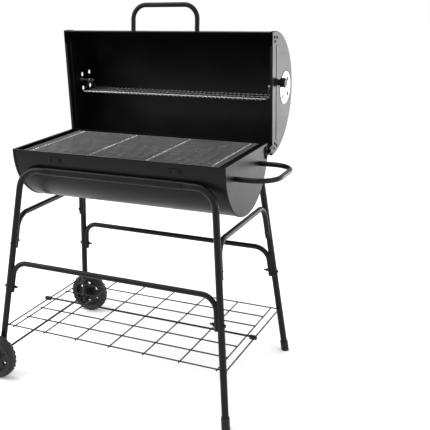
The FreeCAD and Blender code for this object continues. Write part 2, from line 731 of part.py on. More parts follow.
# ---------------------------------------------------------------- side handle

side_grip = u_tube("side_grip", size("side_handle_half"), size("side_handle_reach") - 0.4, 0.0,
                   size("side_handle_bend"), "handle_radius")
side_grip.Placement = Placement(at(bowl_half + size("side_handle_reach"), 0, size("side_handle_z")),
                                Rotation(Y_AXIS, Vector(), X_AXIS, "XZY"))
keep(side_grip, "side_handle")
keep(group("side_handle_bolts_group", [
    bolt(f"side_handle_bolt_{side + 1}", "bolt_radius", "18",
         at(bowl_half - cap_wall - 0.2, side * size("side_handle_half"), size("side_handle_z")), X_AXIS)
    for side in (-1, 1)]), "side_handle_bolts")

# ---------------------------------------------------------------- vents

knob_angle = math.radians(247)
knob_y = size("vent_tab") * math.cos(knob_angle)
knob_z = vent_z + size("vent_tab") * math.sin(knob_angle)
vent_bolts = []
vent_nuts = []
vent_springs = []
disc_wall = 1.2
for side, word in ((-1, "left"), (1, "right")):
    face = side * (lid_half + 0.3)
    disc_low = face if side > 0 else face - disc_wall
    plate = cylinder("vent_plate_" + word, "Sizes.vent_radius", str(disc_wall), at(disc_low, 0, vent_z), X_AXIS)
    tab_turn = Rotation(X_AXIS, Vector(0, math.cos(knob_angle), math.sin(knob_angle)), Vector(), "XYZ")
    tab_edge = Vector(0, math.sin(knob_angle), -math.cos(knob_angle)) * 9
    tab = box("vent_tab_" + word, str(disc_wall), "Sizes.vent_tab", "18",
              at(disc_low, tab_edge.y, vent_z + tab_edge.z), tab_turn)
    tab_end = cylinder("vent_tab_end_" + word, "9", str(disc_wall), at(disc_low, knob_y, knob_z), X_AXIS)
    joined = fuse("vent_disc_solid_" + word, [plate, tab, tab_end])
    drills = vent_holes("disc_vent_" + word, disc_low - 5, "12")
    drills.append(cylinder("knob_hole_" + word, "2", "12", at(disc_low - 5, knob_y, knob_z), X_AXIS))
    disc = cut("vent_disc_cut_" + word, joined, group("vent_disc_drills_" + word, drills))
    knob_base = side * (lid_half + 0.3 + disc_wall)
    neck = cylinder("knob_neck_" + word, "10", "8", at(knob_base, knob_y, knob_z), X_AXIS * side)
    grip = cylinder("knob_grip_" + word, "14.5", "19", at(knob_base + side * 6, knob_y, knob_z), X_AXIS * side)
    stem = cylinder("knob_stem_" + word, "2", "2", at(knob_base - side * 1.2, knob_y, knob_z), X_AXIS * side)
    knob_grip = rounded("knob_round_" + word, grip, [(2, 1.5), (3, 1.5)])
    knob = fuse("knob_solid_" + word, [neck, knob_grip, stem])
    moved(lid_open(), [disc, knob])
    keep(disc, "vent_disc_" + word)
    keep(knob, "vent_knob_" + word)
    head_x = side * (lid_half + 0.5 + disc_wall)
    vent_bolts.append(bolt("vent_bolt_" + word, "bolt_radius", "36", at(head_x, 0, vent_z),
                           X_AXIS * -side))
    nut_x = side * (lid_half - 24)
    vent_nuts.append(ring_nut("vent_nut_" + word, "Sizes.bolt_radius", at(nut_x, 0, vent_z), X_AXIS * -side))
    helix = Part.makeHelix(3.4, 17, 5.2)
    coil = Part.Wire(helix)
    coil_section = Part.Wire(Part.makeCircle(0.8, Vector(5.2, 0, 0), Y_AXIS))
    coil_solid = coil.makePipeShell([coil_section], True, True)
    spring = feature("vent_spring_" + word, coil_solid)
    spring.Placement = Placement(at(side * (lid_half - 4), 0, vent_z), Rotation(Z_AXIS, X_AXIS * -side))
    vent_springs.append(spring)
vent_groups = [group("vent_bolt_group", vent_bolts), group("vent_nut_group", vent_nuts),
               group("vent_spring_group", vent_springs)]
moved(lid_open(), vent_groups)
for vent_group, label in zip(vent_groups, ("vent_bolts", "vent_nuts", "vent_springs")):
    keep(vent_group, label)

# ---------------------------------------------------------------- warming rack

rack_front = size("rack_front")
rack_rear = rack_front + size("rack_depth")
rack_mid = (rack_front + rack_rear) / 2
rack_z = size("rack_z")
pivot_z = size("rack_pivot_z")
hanger_x = size("rack_hanger_x")
weld = 0.6


def rod_between(name, radius, start, end):
    """Round bar from one point to another."""
    run = end - start
    return cylinder(name, radius, str(run.Length), start, run)


def bent_wire(points, bend, radius):
    """Round wire along straight runs joined by tangent arcs."""
    edges = []
    last = points[0]
    for before, corner, after in zip(points, points[1:], points[2:]):
        incoming = (corner - before).normalize()
        outgoing = (after - corner).normalize()
        half = incoming.getAngle(outgoing) / 2
        back = bend * math.tan(half)
        start = corner - incoming * back
        end = corner + outgoing * back
        inward = (outgoing - incoming).normalize()
        middle = corner + inward * (bend / math.cos(half) - bend)
        edges.append(Part.LineSegment(last, start).toShape())
        edges.append(Part.Arc(start, middle, end).toShape())
        last = end
    edges.append(Part.LineSegment(last, points[-1]).toShape())
    section = Part.Wire(Part.makeCircle(radius, points[0], points[1] - points[0]))
    return Part.Wire(edges).makePipeShell([section], True, False)


rack_pieces = []
wire_top = rack_z + size("rack_rod") + size("rack_wire") - weld
half_count = int(size("rack_half") / size("rack_pitch"))
wire_profile = [
    at(0, rack_front - 5.0, rack_z - 3.5),
    at(0, rack_front - 5.0, wire_top),
    at(0, rack_rear + 4.5, wire_top),
    at(0, rack_rear + 4.5, rack_z - 13),
]
cross_wire = bent_wire(wire_profile, 2.4, size("rack_wire"))
for number in range(-half_count, half_count + 1):
    rack_pieces.append(cross_wire.translated(Vector(number * size("rack_pitch"), 0, 0)))
rod_radius = size("rack_rod")
for y in (rack_front, rack_mid, rack_rear):
    rack_pieces.append(Part.makeCylinder(rod_radius, 2 * hanger_x, at(-hanger_x, y, rack_z), X_AXIS))
for side in (-1, 1):
    x = side * hanger_x
    eye = at(x, rack_mid, pivot_z)
    for y in (rack_front, rack_rear):
        foot = at(x, y, rack_z)
        away = (foot - eye).normalize()
        rack_pieces.append(Part.makeCylinder(2, (foot - eye).Length - 5.6, eye + away * 5.6, away))
    rack_pieces.append(Part.makeCylinder(2, rack_rear - rack_front, at(x, rack_front, rack_z), Y_AXIS))
    rack_pieces.append(Part.makeTorus(5.1, 2, eye, X_AXIS))
rack_solid = rack_pieces[0].multiFuse(rack_pieces[1:])
keep(feature("warming_rack_solid", rack_solid), "warming_rack")

rack_pins = []
for side in (-1, 1):
    inner_face = at(side * (lid_half - cap_wall - 0.1), rack_mid, pivot_z)
    pin = cylinder(f"rack_pin_{side + 1}", "3", f"{lid_half - cap_wall - hanger_x + 5}", inner_face, X_AXIS * -side)
    flange = cylinder(f"rack_pin_flange_{side + 1}", "7", "2", inner_face, X_AXIS * -side)
    stop = cylinder(f"rack_pin_stop_{side + 1}", "6", "2.5",
                    at(side * (hanger_x - 3), rack_mid, pivot_z), X_AXIS * -side)
    rack_pins.append(fuse(f"rack_pin_solid_{side + 1}", [pin, flange, stop]))
keep(group("rack_pin_group", rack_pins), "rack_pivot_pins")

# ---------------------------------------------------------------- grates

wires = []
grate_z = size("grate_z")
grate_count = int(size("grate_count"))
for number in range(-grate_count, grate_count + 1):
    wires.append(cylinder(f"grate_wire_{number + grate_count}", "Sizes.grate_wire", "2 * Sizes.grate_half_x",
                          at(-size("grate_half_x"), number * size("grate_pitch"), grate_z), X_AXIS))
bar_z = grate_z - size("grate_wire") - size("grate_bar") + weld
bar_end = grate_count * size("grate_pitch") + 2
for number, x in enumerate((-size("grate_bar_outer"), -size("grate_bar_inner"),
                            size("grate_bar_inner"), size("grate_bar_outer"))):
    wires.append(cylinder(f"grate_bar_{number}", "Sizes.grate_bar", "2 * Sizes.grate_count * Sizes.grate_pitch + 4",
                          at(x, -bar_end, bar_z), Y_AXIS))
keep(fuse("cooking_grate_solid", wires), "cooking_grate")

coal_wires = []
coal_z = size("coal_grate_z")
coal_half_y = size("coal_half_y")
for number in range(-5, 6):
    coal_wires.append(cylinder(f"coal_wire_{number + 5}", "2", "2 * Sizes.coal_half_x",
                               at(-size("coal_half_x"), number * coal_half_y / 5.3, coal_z), X_AXIS))
for number, x in enumerate((-290, -97, 97, 290)):
    coal_wires.append(cylinder(f"coal_bar_{number}", "3", "2 * Sizes.coal_half_y",
                               at(x, -coal_half_y, coal_z - 5 + weld), Y_AXIS))
keep(fuse("charcoal_grate_solid", coal_wires), "charcoal_grate")

# ---------------------------------------------------------------- leg frames

frame_r = size("frame_radius")
frame_lean = math.hypot(1.0, (size("foot_y") - size("bar_y")) / size("bar_z"))


def oblong(x, height, depth):
    """Flattened tube section across the bar, taller than it is thick."""
    r = depth / 2
    h = height / 2 - r
    edges = [
        Part.Arc(Vector(x, -r, h), Vector(x, 0, h + r), Vector(x, r, h)).toShape(),
        Part.LineSegment(Vector(x, r, h), Vector(x, r, -h)).toShape(),
        Part.Arc(Vector(x, r, -h), Vector(x, 0, -h - r), Vector(x, -r, -h)).toShape(),
        Part.LineSegment(Vector(x, -r, -h), Vector(x, -r, h)).toShape(),
    ]
    return Part.Wire(edges)


def frame_half(inset, leg_end_z):
    """Right half of a leg frame in its own plane: flattened bar, turn to round, bend and leg."""
    radius = frame_r - inset
    flat = oblong(0, size("flat_height") - 2 * inset, size("flat_depth") - 2 * inset)
    bar = Part.Face(flat).extrude(Vector(size("flat_half"), 0, 0))
    turn_x = size("flat_half") + size("flat_run")
    near_round = oblong(turn_x, 2 * radius + 0.02, 2 * radius)
    step = Part.makeLoft([flat.translated(Vector(size("flat_half"), 0, 0)), near_round], True)
    height = size("bar_z") - leg_end_z
    top_x = leg_x(size("bar_z"))
    start, middle, finish, end = u_path(top_x, height * frame_lean, leg_x(leg_end_z) - top_x, size("frame_bend"))
    stand = [Vector(point.x, 0, point.y) for point in (Vector(turn_x, 0, 0), start, middle, finish, end)]
    path = Part.Wire([
        Part.LineSegment(stand[0], stand[1]).toShape(),
        Part.Arc(stand[1], stand[2], stand[3]).toShape(),
        Part.LineSegment(stand[3], stand[4]).toShape(),
    ])
    section = Part.Wire(Part.makeCircle(radius, stand[0], X_AXIS))
    pipe = path.makePipeShell([section], True, False)
    return bar.fuse(step).fuse(pipe)


def frame_tube(inset):
    """Whole leg frame in its own plane, right leg to the floor and left leg to the axle."""
    right = frame_half(inset, 6.0)
    left = frame_half(inset, 52.0).mirror(Vector(), X_AXIS)
    return right.fuse(left).removeSplitter()


def leg_point(x_side, y_side, z):
    """Point on a leg's centre line."""
    return at(x_side * leg_x(z), y_side * leg_y(z), z)


def leg_direction(x_side, y_side):
    """Direction up a leg."""
    return (leg_point(x_side, y_side, 100) - leg_point(x_side, y_side, 0)).normalize()


stretcher_bolts = []
stretcher_nuts = []
brace_bolts = []
brace_nuts = []
stretcher_tools = {}
brace_tools = {}
frame_tools = {}
for y_side, word in ((-1, "front"), (1, "rear")):
    tools = []
    for end in (-1, 1):
        tag = f"{word}_{end + 1}"
        inward = frame_normal(y_side)
        tools.append(cylinder("frame_bar_hole_" + tag, "Sizes.bolt_radius + 0.1", "60",
                              bar_crossing(end, y_side) - inward * 30, inward))
        side = end
        inward = X_AXIS * -side
        crossing = leg_point(side, y_side, size("stretcher_bolt_z"))
        head = crossing - inward * (frame_r + 1.2)
        stretcher_bolts.append(bolt("stretcher_bolt_" + tag, "bolt_radius", "48", head, inward))
        stretcher_nuts.append(ring_nut("stretcher_nut_" + tag, "Sizes.bolt_radius",
                                       crossing + inward * 23.1, inward))
        tools.append(cylinder("frame_stretcher_hole_" + tag, "Sizes.bolt_radius + 0.1", "60",
                              crossing - inward * 30, inward))
        stretcher_tools.setdefault(y_side, []).append(
            cylinder("stretcher_hole_" + tag, "Sizes.bolt_radius + 0.1", "60", crossing - inward * 30, inward))
        stretcher_tools[y_side].append(
            cylinder("stretcher_nest_" + tag, "Sizes.frame_radius + 0.2", "300",
                     leg_point(side, y_side, 240), leg_direction(side, y_side)))
        inward = Y_AXIS * -y_side
        crossing = leg_point(side, y_side, size("brace_bolt_z"))
        head = crossing - inward * (frame_r + 1.2)
        brace_bolts.append(bolt("brace_bolt_" + tag, "bolt_radius", "42", head, inward))
        brace_nuts.append(ring_nut("brace_nut_" + tag, "Sizes.bolt_radius", crossing + inward * 23.1, inward))
        tools.append(cylinder("frame_brace_hole_" + tag, "Sizes.bolt_radius + 0.1", "60",
                              crossing - inward * 30, inward))
        brace_tools.setdefault(side, []).append(
            cylinder("brace_hole_" + tag, "Sizes.bolt_radius + 0.1", "60", crossing - inward * 30, inward))
        brace_tools[side].append(
            cylinder("brace_nest_" + tag, "Sizes.frame_radius + 0.2", "300",
                     leg_point(side, y_side, 400), leg_direction(side, y_side)))
        rod_entry = leg_point(side, y_side, size("rod_z"))
        tools.append(cylinder("frame_rod_hole_" + tag, "Sizes.rod_radius + 0.1", "20", rod_entry, inward))
    axle_entry = leg_point(-1, y_side, size("axle_z"))
    tools.append(cylinder("frame_axle_hole_" + word, "Sizes.axle_radius + 0.1", "60",
                          axle_entry - Y_AXIS * 30, Y_AXIS))
    frame_tools[y_side] = tools

outer_tube = frame_tube(0.0)
inner_tube = frame_tube(size("tube_wall"))
tube_shape = outer_tube.cut(inner_tube)
for y_side, word in ((-1, "front"), (1, "rear")):
    tube = feature("frame_tube_" + word, tube_shape)
    tube.Placement = frame_placement(size("bar_z"), y_side)
    keep(cut("frame_cut_" + word, tube, group("frame_tools_" + word, frame_tools[y_side])), word + "_leg_frame")

top_z = size("stretcher_z")
drop = top_z - size("stretcher_end_z")
nest = size("nest_offset")
for y_side, word in ((-1, "front"), (1, "rear")):
    spread = leg_x(size("stretcher_end_z")) - leg_x(top_z)
    tube = u_tube("stretcher_tube_" + word, leg_x(top_z) - nest, drop * frame_lean, spread,
                  size("brace_bend"), "brace_radius")
    tube.Placement = frame_placement(top_z, y_side)
    keep(cut("stretcher_cut_" + word, tube, group("stretcher_tools_" + word, stretcher_tools[y_side])),
         word + "_stretcher")

top_z = size("brace_z")
drop = top_z - size("brace_end_z")
side_lean = math.hypot(1.0, size("leg_splay") / size("splay_height"))
for side, word in ((-1, "left"), (1, "right")):
    spread = leg_y(size("brace_end_z")) - leg_y(top_z)
    tube = u_tube("brace_tube_" + word, leg_y(top_z) - nest, drop * side_lean, spread,
                  size("brace_bend"), "brace_radius")
    tube.Placement = side_placement(top_z, side)
    keep(cut("brace_cut_" + word, tube, group("brace_tools_" + word, brace_tools[side])), word + "_brace")

keep(group("stretcher_bolt_group", stretcher_bolts), "stretcher_bolts")
keep(group("stretcher_nut_group", stretcher_nuts), "stretcher_nuts")
keep(group("brace_bolt_group", brace_bolts), "brace_bolts")
keep(group("brace_nut_group", brace_nuts), "brace_nuts")

# ---------------------------------------------------------------- feet

for y_side, word in ((-1, "front"), (1, "rear")):
    up = leg_direction(1, y_side)
    foot = leg_point(1, y_side, 0)
    shoe = cylinder("foot_shoe_" + word, "Sizes.frame_radius + 2.5", "44", foot - up * 6, up)
    bore = cylinder("foot_bore_" + word, "Sizes.frame_radius + 0.1", "60",
                    leg_point(1, y_side, 6.0), up)
    floor = box("foot_floor_" + word, "60", "60", "20", foot + Vector(-30, -30, -20))
    keep(cut("foot_cap_cut_" + word, shoe, group("foot_tools_" + word, [bore, floor])), "foot_cap_" + word)

plugs = []
for y_side, word in ((-1, "front"), (1, "rear")):
    up = leg_direction(-1, y_side)
    end = leg_point(-1, y_side, 52.0)
    stem = cylinder("plug_stem_" + word, "Sizes.frame_radius - Sizes.tube_wall - 0.1", "12", end - up * 1, up)
    face = cylinder("plug_face_" + word, "Sizes.frame_radius", "3", end - up * 3.1, up)
    plugs.append(fuse("leg_plug_" + word, [stem, face]))
keep(group("leg_plug_group", plugs), "leg_plugs")

# ---------------------------------------------------------------- axle and wheels

axle_x = -leg_x(size("axle_z"))
axle_z = size("axle_z")
wheel_half = size("wheel_width") / 2
axle_half = size("wheel_y") + wheel_half + 7
keep(cylinder("axle_rod", "Sizes.axle_radius", f"{2 * axle_half}", at(axle_x, -axle_half, axle_z), Y_AXIS), "axle")

caps = []
spacers = []
for y_side, word in ((-1, "front"), (1, "rear")):
    outward = Y_AXIS * y_side
    cap_start = at(axle_x, y_side * (size("wheel_y") + wheel_half + 0.4), axle_z)
    shell = cylinder("axle_cap_shell_" + word, "9", "9", cap_start, outward)
    hollow = cylinder("axle_cap_bore_" + word, "Sizes.axle_radius", "6.6", cap_start, outward)
    domed = rounded("axle_cap_dome_" + word, shell, [(3, 4.0)])
    caps.append(cut("axle_cap_" + word, domed, hollow))
    spacer_start = at(axle_x, y_side * (leg_y(axle_z) + frame_r + 1.5), axle_z)
    spacer_length = size("wheel_y") - wheel_half - 0.4 - leg_y(axle_z) - frame_r - 1.5
    ring = cylinder("spacer_ring_" + word, "8", str(spacer_length), spacer_start, outward)
    bore = cylinder("spacer_bore_" + word, "Sizes.axle_radius", str(spacer_length), spacer_start, outward)
    spacers.append(cut("spacer_" + word, ring, bore))
keep(group("axle_cap_group", caps), "axle_caps")
keep(group("spacer_group", spacers), "wheel_spacers")


def wheel_rim(name):
    """Moulded wheel centre about Y: hub, web with six small holes and a seat for the tyre."""
    body = new_body(name)
    sketch = new_sketch(body, name + "_section", "YZ_Plane")
    bore = size("axle_radius") + size("running_gap")
    seat = size("tyre_inner")
    half = wheel_half
    outline = [
        (-half, bore), (half, bore), (half, 16), (6, 18), (6, seat - 10), (half - 3, seat - 7),
        (half - 3, seat - 0.3), (-half + 3, seat - 0.3), (-half + 3, seat - 7), (-6, seat - 10),
        (-6, 18), (-half, 16),
    ]
    strokes = [line(*first, *second) for first, second in zip(outline, outline[1:] + outline[:1])]
    draw(sketch, strokes)
    spin = body.newObject("PartDesign::Revolution", name + "_turned")
    spin.Profile = sketch
    spin.ReferenceAxis = (sketch, ["H_Axis"])
    spin.Angle = 360
    body.Tip = spin
    doc.recompute()
    window = new_sketch(body, name + "_window", "XZ_Plane", wheel_half)
    inner = 33.0
    outer = seat - 15
    low = math.radians(19)
    high = math.radians(41)
    corners = [Vector(r * math.cos(a), r * math.sin(a), 0) for r, a in
               ((inner, low + 0.03), (outer, low), (outer, high), (inner, high - 0.03))]
    outer_mid = Vector(outer * math.cos((low + high) / 2), outer * math.sin((low + high) / 2), 0)
    draw(window, [
        Part.LineSegment(corners[0], corners[1]),
        Part.Arc(corners[1], outer_mid, corners[2]),
        Part.LineSegment(corners[2], corners[3]),
        Part.LineSegment(corners[3], corners[0]),
    ])
    opening = pocket(body, name + "_opening", window, "Sizes.wheel_width")
    pattern = body.newObject("PartDesign::PolarPattern", name + "_openings")
    pattern.Originals = [opening]
    axis = next(item for item in body.Origin.OriginFeatures if item.Role == "Y_Axis")
    pattern.Axis = (axis, [""])
    pattern.Angle = 360
    pattern.Occurrences = 6
    body.Tip = pattern
    return body


def tyre(name):
    """Tyre about Y with a rounded crown and square shoulders."""
    body = new_body(name)
    sketch = new_sketch(body, name + "_section", "YZ_Plane")
    seat = size("tyre_inner")
    crown = size("wheel_radius")
    shoulder = crown - size("tyre_crown")
    half = wheel_half
    draw(sketch, [
        line(-half + 3, seat, half - 3, seat),
        line(half - 3, seat, half, seat + 4),
        line(half, seat + 4, half, shoulder),
        Part.Arc(Vector(half, shoulder, 0), Vector(0, crown, 0), Vector(-half, shoulder, 0)),
        line(-half, shoulder, -half, seat + 4),
        line(-half, seat + 4, -half + 3, seat),
    ])
    spin = body.newObject("PartDesign::Revolution", name + "_turned")
    spin.Profile = sketch
    spin.ReferenceAxis = (sketch, ["H_Axis"])
    spin.Angle = 360
    body.Tip = spin
    return body


for y_side, word in ((-1, "front"), (1, "rear")):
    place = Placement(at(axle_x, y_side * size("wheel_y"), axle_z), Rotation())
    rim = wheel_rim("rim_" + word)
    rim.Placement = place
    keep(rim, "wheel_rim_" + word)
    rubber = tyre("tyre_" + word)
    rubber.Placement = place
    keep(rubber, "wheel_tyre_" + word)

# ---------------------------------------------------------------- bottom shelf

rod_z = size("rod_z")
rod_x = leg_x(rod_z)
rod_y = leg_y(rod_z)
shelf_z = size("shelf_z")
half_y = size("shelf_half_y")
shelf_wires = []
cross_z = shelf_z - 2 * size("shelf_wire") + weld
for number in range(7):
    x = size("shelf_half_x") * (number - 3) / 3
    shelf_wires.append(cylinder(f"shelf_cross_{number}", "Sizes.shelf_wire", "2 * Sizes.shelf_half_y + 6",
                                at(x, -half_y - 3, cross_z), Y_AXIS))
for number, step in enumerate((-3, -2, -1, 1, 2, 3)):
    outer_wire = abs(step) == 3
    reach = rod_x if outer_wire else size("shelf_half_x") + 3
    y = half_y * step / 3
    shelf_wires.append(cylinder(f"shelf_long_{number}", "Sizes.shelf_wire", f"{2 * reach}",
                                at(-reach, y, shelf_z), X_AXIS))
    for side in (-1, 1) if outer_wire else ():
        hook = doc.addObject("Part::Torus", f"shelf_hook_{number}_{side + 1}")
        bind(hook, Radius1="Sizes.shelf_z - Sizes.rod_z", Radius2="Sizes.shelf_wire", Angle3="150")
        outward_turn = Rotation() if side > 0 else half_turn
        upright = Rotation(Z_AXIS, Vector(), Y_AXIS, "XZY")
        hook.Placement = Placement(at(side * rod_x, y, rod_z), outward_turn.multiply(upright))
        shelf_wires.append(hook)
keep(fuse("shelf_mesh", shelf_wires), "bottom_shelf")

keep(group("side_rod_group", [
    cylinder(f"side_rod_{side + 1}", "Sizes.rod_radius", f"{2 * rod_y}", at(side * rod_x, -rod_y, rod_z), Y_AXIS)
    for side in (-1, 1)]), "shelf_side_rods")

centre_rod_z = cross_z + size("shelf_wire") + size("centre_rod_radius") + 0.1
keep(cylinder("centre_rod", "Sizes.centre_rod_radius", f"{2 * rod_x - 4}",
              at(-rod_x + 2, 0, centre_rod_z), X_AXIS), "shelf_centre_rod")

end_caps = []
for side in (-1, 1):
    outward = X_AXIS * side
    start = at(side * (rod_x - 14), 0, centre_rod_z - 2)
    barrel = cylinder(f"rod_cap_barrel_{side + 1}", "8", "25", start, outward)
    smooth = rounded(f"rod_cap_round_{side + 1}", barrel, [(2, 2.0), (3, 6.0)])
    tools = [
        cylinder(f"rod_cap_bore_{side + 1}", "Sizes.centre_rod_radius + 0.05", "15",
                 at(side * (rod_x - 17), 0, centre_rod_z), outward),
        cylinder(f"rod_cap_slot_{side + 1}", "Sizes.rod_radius + 0.05", "40", at(side * rod_x, -20, rod_z), Y_AXIS),
    ]
    end_caps.append(cut(f"rod_cap_{side + 1}", smooth, group(f"rod_cap_tools_{side + 1}", tools)))
keep(group("rod_cap_group", end_caps), "centre_rod_caps")

# ---------------------------------------------------------------- checks and files

doc.recompute()
for obj in doc.Objects:
    if "Invalid" in obj.State or "Error" in obj.State:
        raise RuntimeError(f"{obj.Label} failed: {obj.State}")
for obj in nodes:
    if obj.Shape.isNull() or not obj.Shape.isValid():
        raise RuntimeError(f"{obj.Label} has no valid shape")

os.makedirs("parts", exist_ok=True)
for obj in nodes:
    obj.Shape.exportStep(f"parts/{obj.Label}.step")
    print(obj.Label, len(obj.Shape.Solids), round(obj.Shape.Volume / 1000, 1))

whole = FreeCAD.BoundBox()
for obj in nodes:
    whole.add(obj.Shape.BoundBox)
print("box", [round(value, 1) for value in (whole.XMin, whole.XMax, whole.YMin, whole.YMax, whole.ZMin, whole.ZMax)])
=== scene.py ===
"""Looks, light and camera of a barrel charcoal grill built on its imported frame."""

import logging
import math
from dataclasses import dataclass, field
from enum import Enum

import bpy
from mathutils import Matrix, Vector


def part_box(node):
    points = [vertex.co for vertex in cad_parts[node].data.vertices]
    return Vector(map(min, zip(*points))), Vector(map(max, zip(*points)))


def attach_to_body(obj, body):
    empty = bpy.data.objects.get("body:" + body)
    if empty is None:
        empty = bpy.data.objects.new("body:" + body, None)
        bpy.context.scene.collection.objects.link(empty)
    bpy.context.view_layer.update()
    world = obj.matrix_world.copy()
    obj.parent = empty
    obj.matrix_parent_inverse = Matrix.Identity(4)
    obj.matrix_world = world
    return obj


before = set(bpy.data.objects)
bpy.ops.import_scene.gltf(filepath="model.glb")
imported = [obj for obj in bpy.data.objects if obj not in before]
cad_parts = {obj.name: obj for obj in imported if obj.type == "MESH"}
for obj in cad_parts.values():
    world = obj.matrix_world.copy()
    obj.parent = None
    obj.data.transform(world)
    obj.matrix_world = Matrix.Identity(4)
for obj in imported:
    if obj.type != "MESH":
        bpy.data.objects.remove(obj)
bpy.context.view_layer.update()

logging.basicConfig(level=logging.INFO, format="%(message)s")
LOG = logging.getLogger("grill")

Colour = tuple[float, float, float]


class Body(Enum):
    """Moving groups of the grill."""

    STAND = "stand"
    LID = "lid"
    VENT_LEFT = "vent_left"
    VENT_RIGHT = "vent_right"
    RACK = "rack"
    GRATE = "grate"
    COAL_GRATE = "coal_grate"
    WHEEL_FRONT = "wheel_front"
    WHEEL_REAR = "wheel_rear"


class Slot(Enum):
    """Finish slots of the record."""

    ENAMEL = "black_enamel"
    TUBE = "black_tube"
    WIRE = "black_wire"
    CHROME = "chrome_plate"
    STEEL = "grate_steel"
    FASTENER = "black_fastener"
    ZINC = "zinc_steel"
    PLASTIC = "black_plastic"
    WHEEL = "wheel_plastic"
    RUBBER = "tyre_rubber"


# ---------------------------------------------------------------- shader groups

class ShaderRecipe:
    """Node group being written, with named inputs and outputs."""

    def __init__(self, name: str, inputs: dict[str, float], outputs: list[str]) -> None:
        """Makes the group.

        Args:
            name: name of the group.
            inputs: input names with their defaults.
            outputs: output names.
        """
        self.tree = bpy.data.node_groups.new(name, "ShaderNodeTree")
        for label, value in inputs.items():
            socket = self.tree.interface.new_socket(name=label, in_out="INPUT", socket_type="NodeSocketFloat")
            socket.default_value = value
        for label in outputs:
            self.tree.interface.new_socket(name=label, in_out="OUTPUT", socket_type="NodeSocketFloat")
        self.entry = self.tree.nodes.new("NodeGroupInput")
        self.exit = self.tree.nodes.new("NodeGroupOutput")

    def add(self, kind: str, **settings: object) -> bpy.types.Node:
        """Adds a node and sets its properties.

        Args:
            kind: Blender's node type.
            settings: properties of the node.

        Returns:
            The node.
        """
        return add_node(self.tree, kind, **settings)

    def noise(self, vector: bpy.types.NodeSocket, scale: object, detail: float,
              rough: float) -> bpy.types.Node:
        """Adds a noise texture.

        Args:
            vector: coordinates to read.
            scale: a number, or a socket that gives it.
            detail: octaves.
            rough: roughness of the noise.

        Returns:
            The node.
        """
        node = self.add("ShaderNodeTexNoise")
        feed(self.tree, node.inputs["Vector"], vector)
        feed(self.tree, node.inputs["Scale"], scale)
        feed(self.tree, node.inputs["Detail"], detail)
        feed(self.tree, node.inputs["Roughness"], rough)
        return node

    def sum(self, kind: str, first: object, second: object, clamp: bool = False) -> bpy.types.NodeSocket:
        """Adds a math node.

        Args:
            kind: Blender's operation.
            first: a number or a socket.
            second: a number or a socket.
            clamp: keeps the result from 0 to 1.

        Returns:
            Its output.
        """
        node = self.add("ShaderNodeMath", operation=kind, use_clamp=clamp)
        feed(self.tree, node.inputs[0], first)
        feed(self.tree, node.inputs[1], second)
        return node.outputs[0]

    def band(self, value: object, low: float, high: float) -> bpy.types.NodeSocket:
        """Adds a map range from low..high to 0..1.

        Args:
            value: a number or a socket.
            low: value that gives 0.
            high: value that gives 1.

        Returns:
            Its output.
        """
        node = self.add("ShaderNodeMapRange")
        feed(self.tree, node.inputs["Value"], value)
        feed(self.tree, node.inputs["From Min"], low)
        feed(self.tree, node.inputs["From Max"], high)
        return node.outputs["Result"]

    def give(self, **results: bpy.types.NodeSocket) -> bpy.types.NodeTree:
        """Links the group's outputs.

        Args:
            results: socket for each output name.

        Returns:
            The finished group.
        """
        for label, socket in results.items():
            self.tree.links.new(socket, self.exit.inputs[label])
        return self.tree


def add_node(tree: bpy.types.NodeTree, kind: str, **settings: object) -> bpy.types.Node:
    """Adds a node to a tree.

    Args:
        tree: tree to add to.
        kind: Blender's node type.
        settings: properties of the node.

    Returns:
        The node.
    """
    node = tree.nodes.new(kind)
    for label, value in settings.items():
        setattr(node, label, value)
    return node


def feed(tree: bpy.types.NodeTree, socket: bpy.types.NodeSocket, value: object) -> None:
    """Links a socket, or sets its value.

    Args:
        tree: tree that holds both.
        socket: input to feed.
        value: a socket, or a plain value.
    """
    if isinstance(value, bpy.types.NodeSocket):
        tree.links.new(value, socket)
    else:
        socket.default_value = value


def powder_grain() -> bpy.types.NodeTree:
    """Fine orange peel of a baked coat.

    Returns:
        Group with Height and Variation outputs.
    """
    recipe = ShaderRecipe("powder_grain", {"Scale": 700.0, "Depth": 1.0}, ["Height", "Variation"])
    where = recipe.add("ShaderNodeTexCoord").outputs["Object"]
    fine = recipe.noise(where, recipe.entry.outputs["Scale"], 3.0, 0.55)
    broad = recipe.noise(where, 9.0, 4.0, 0.6)
    height = recipe.sum("MULTIPLY", fine.outputs["Fac"], recipe.entry.outputs["Depth"])
    return recipe.give(Height=height, Variation=recipe.band(broad.outputs["Fac"], 0.3, 0.7))


def settled_dust() -> bpy.types.NodeTree:
    """Thin dust on surfaces that face up, in broken patches.

    Returns:
        Group with a Mask output.
    """
    recipe = ShaderRecipe("settled_dust", {"Amount": 0.5, "Scale": 30.0}, ["Mask"])
    where = recipe.add("ShaderNodeTexCoord")
    parts = recipe.add("ShaderNodeSeparateXYZ")
    recipe.tree.links.new(where.outputs["Normal"], parts.inputs[0])
    upward = recipe.band(parts.outputs["Z"], 0.1, 1.0)
    patches = recipe.noise(where.outputs["Object"], recipe.entry.outputs["Scale"], 6.0, 0.65)
    specks = recipe.noise(where.outputs["Object"], 420.0, 2.0, 0.5)
    broken = recipe.sum("MULTIPLY", recipe.band(patches.outputs["Fac"], 0.35, 0.75),
                        recipe.band(specks.outputs["Fac"], 0.3, 0.62))
    mask = recipe.sum("MULTIPLY", upward, broken)
    return recipe.give(Mask=recipe.sum("MULTIPLY", mask, recipe.entry.outputs["Amount"], clamp=True))


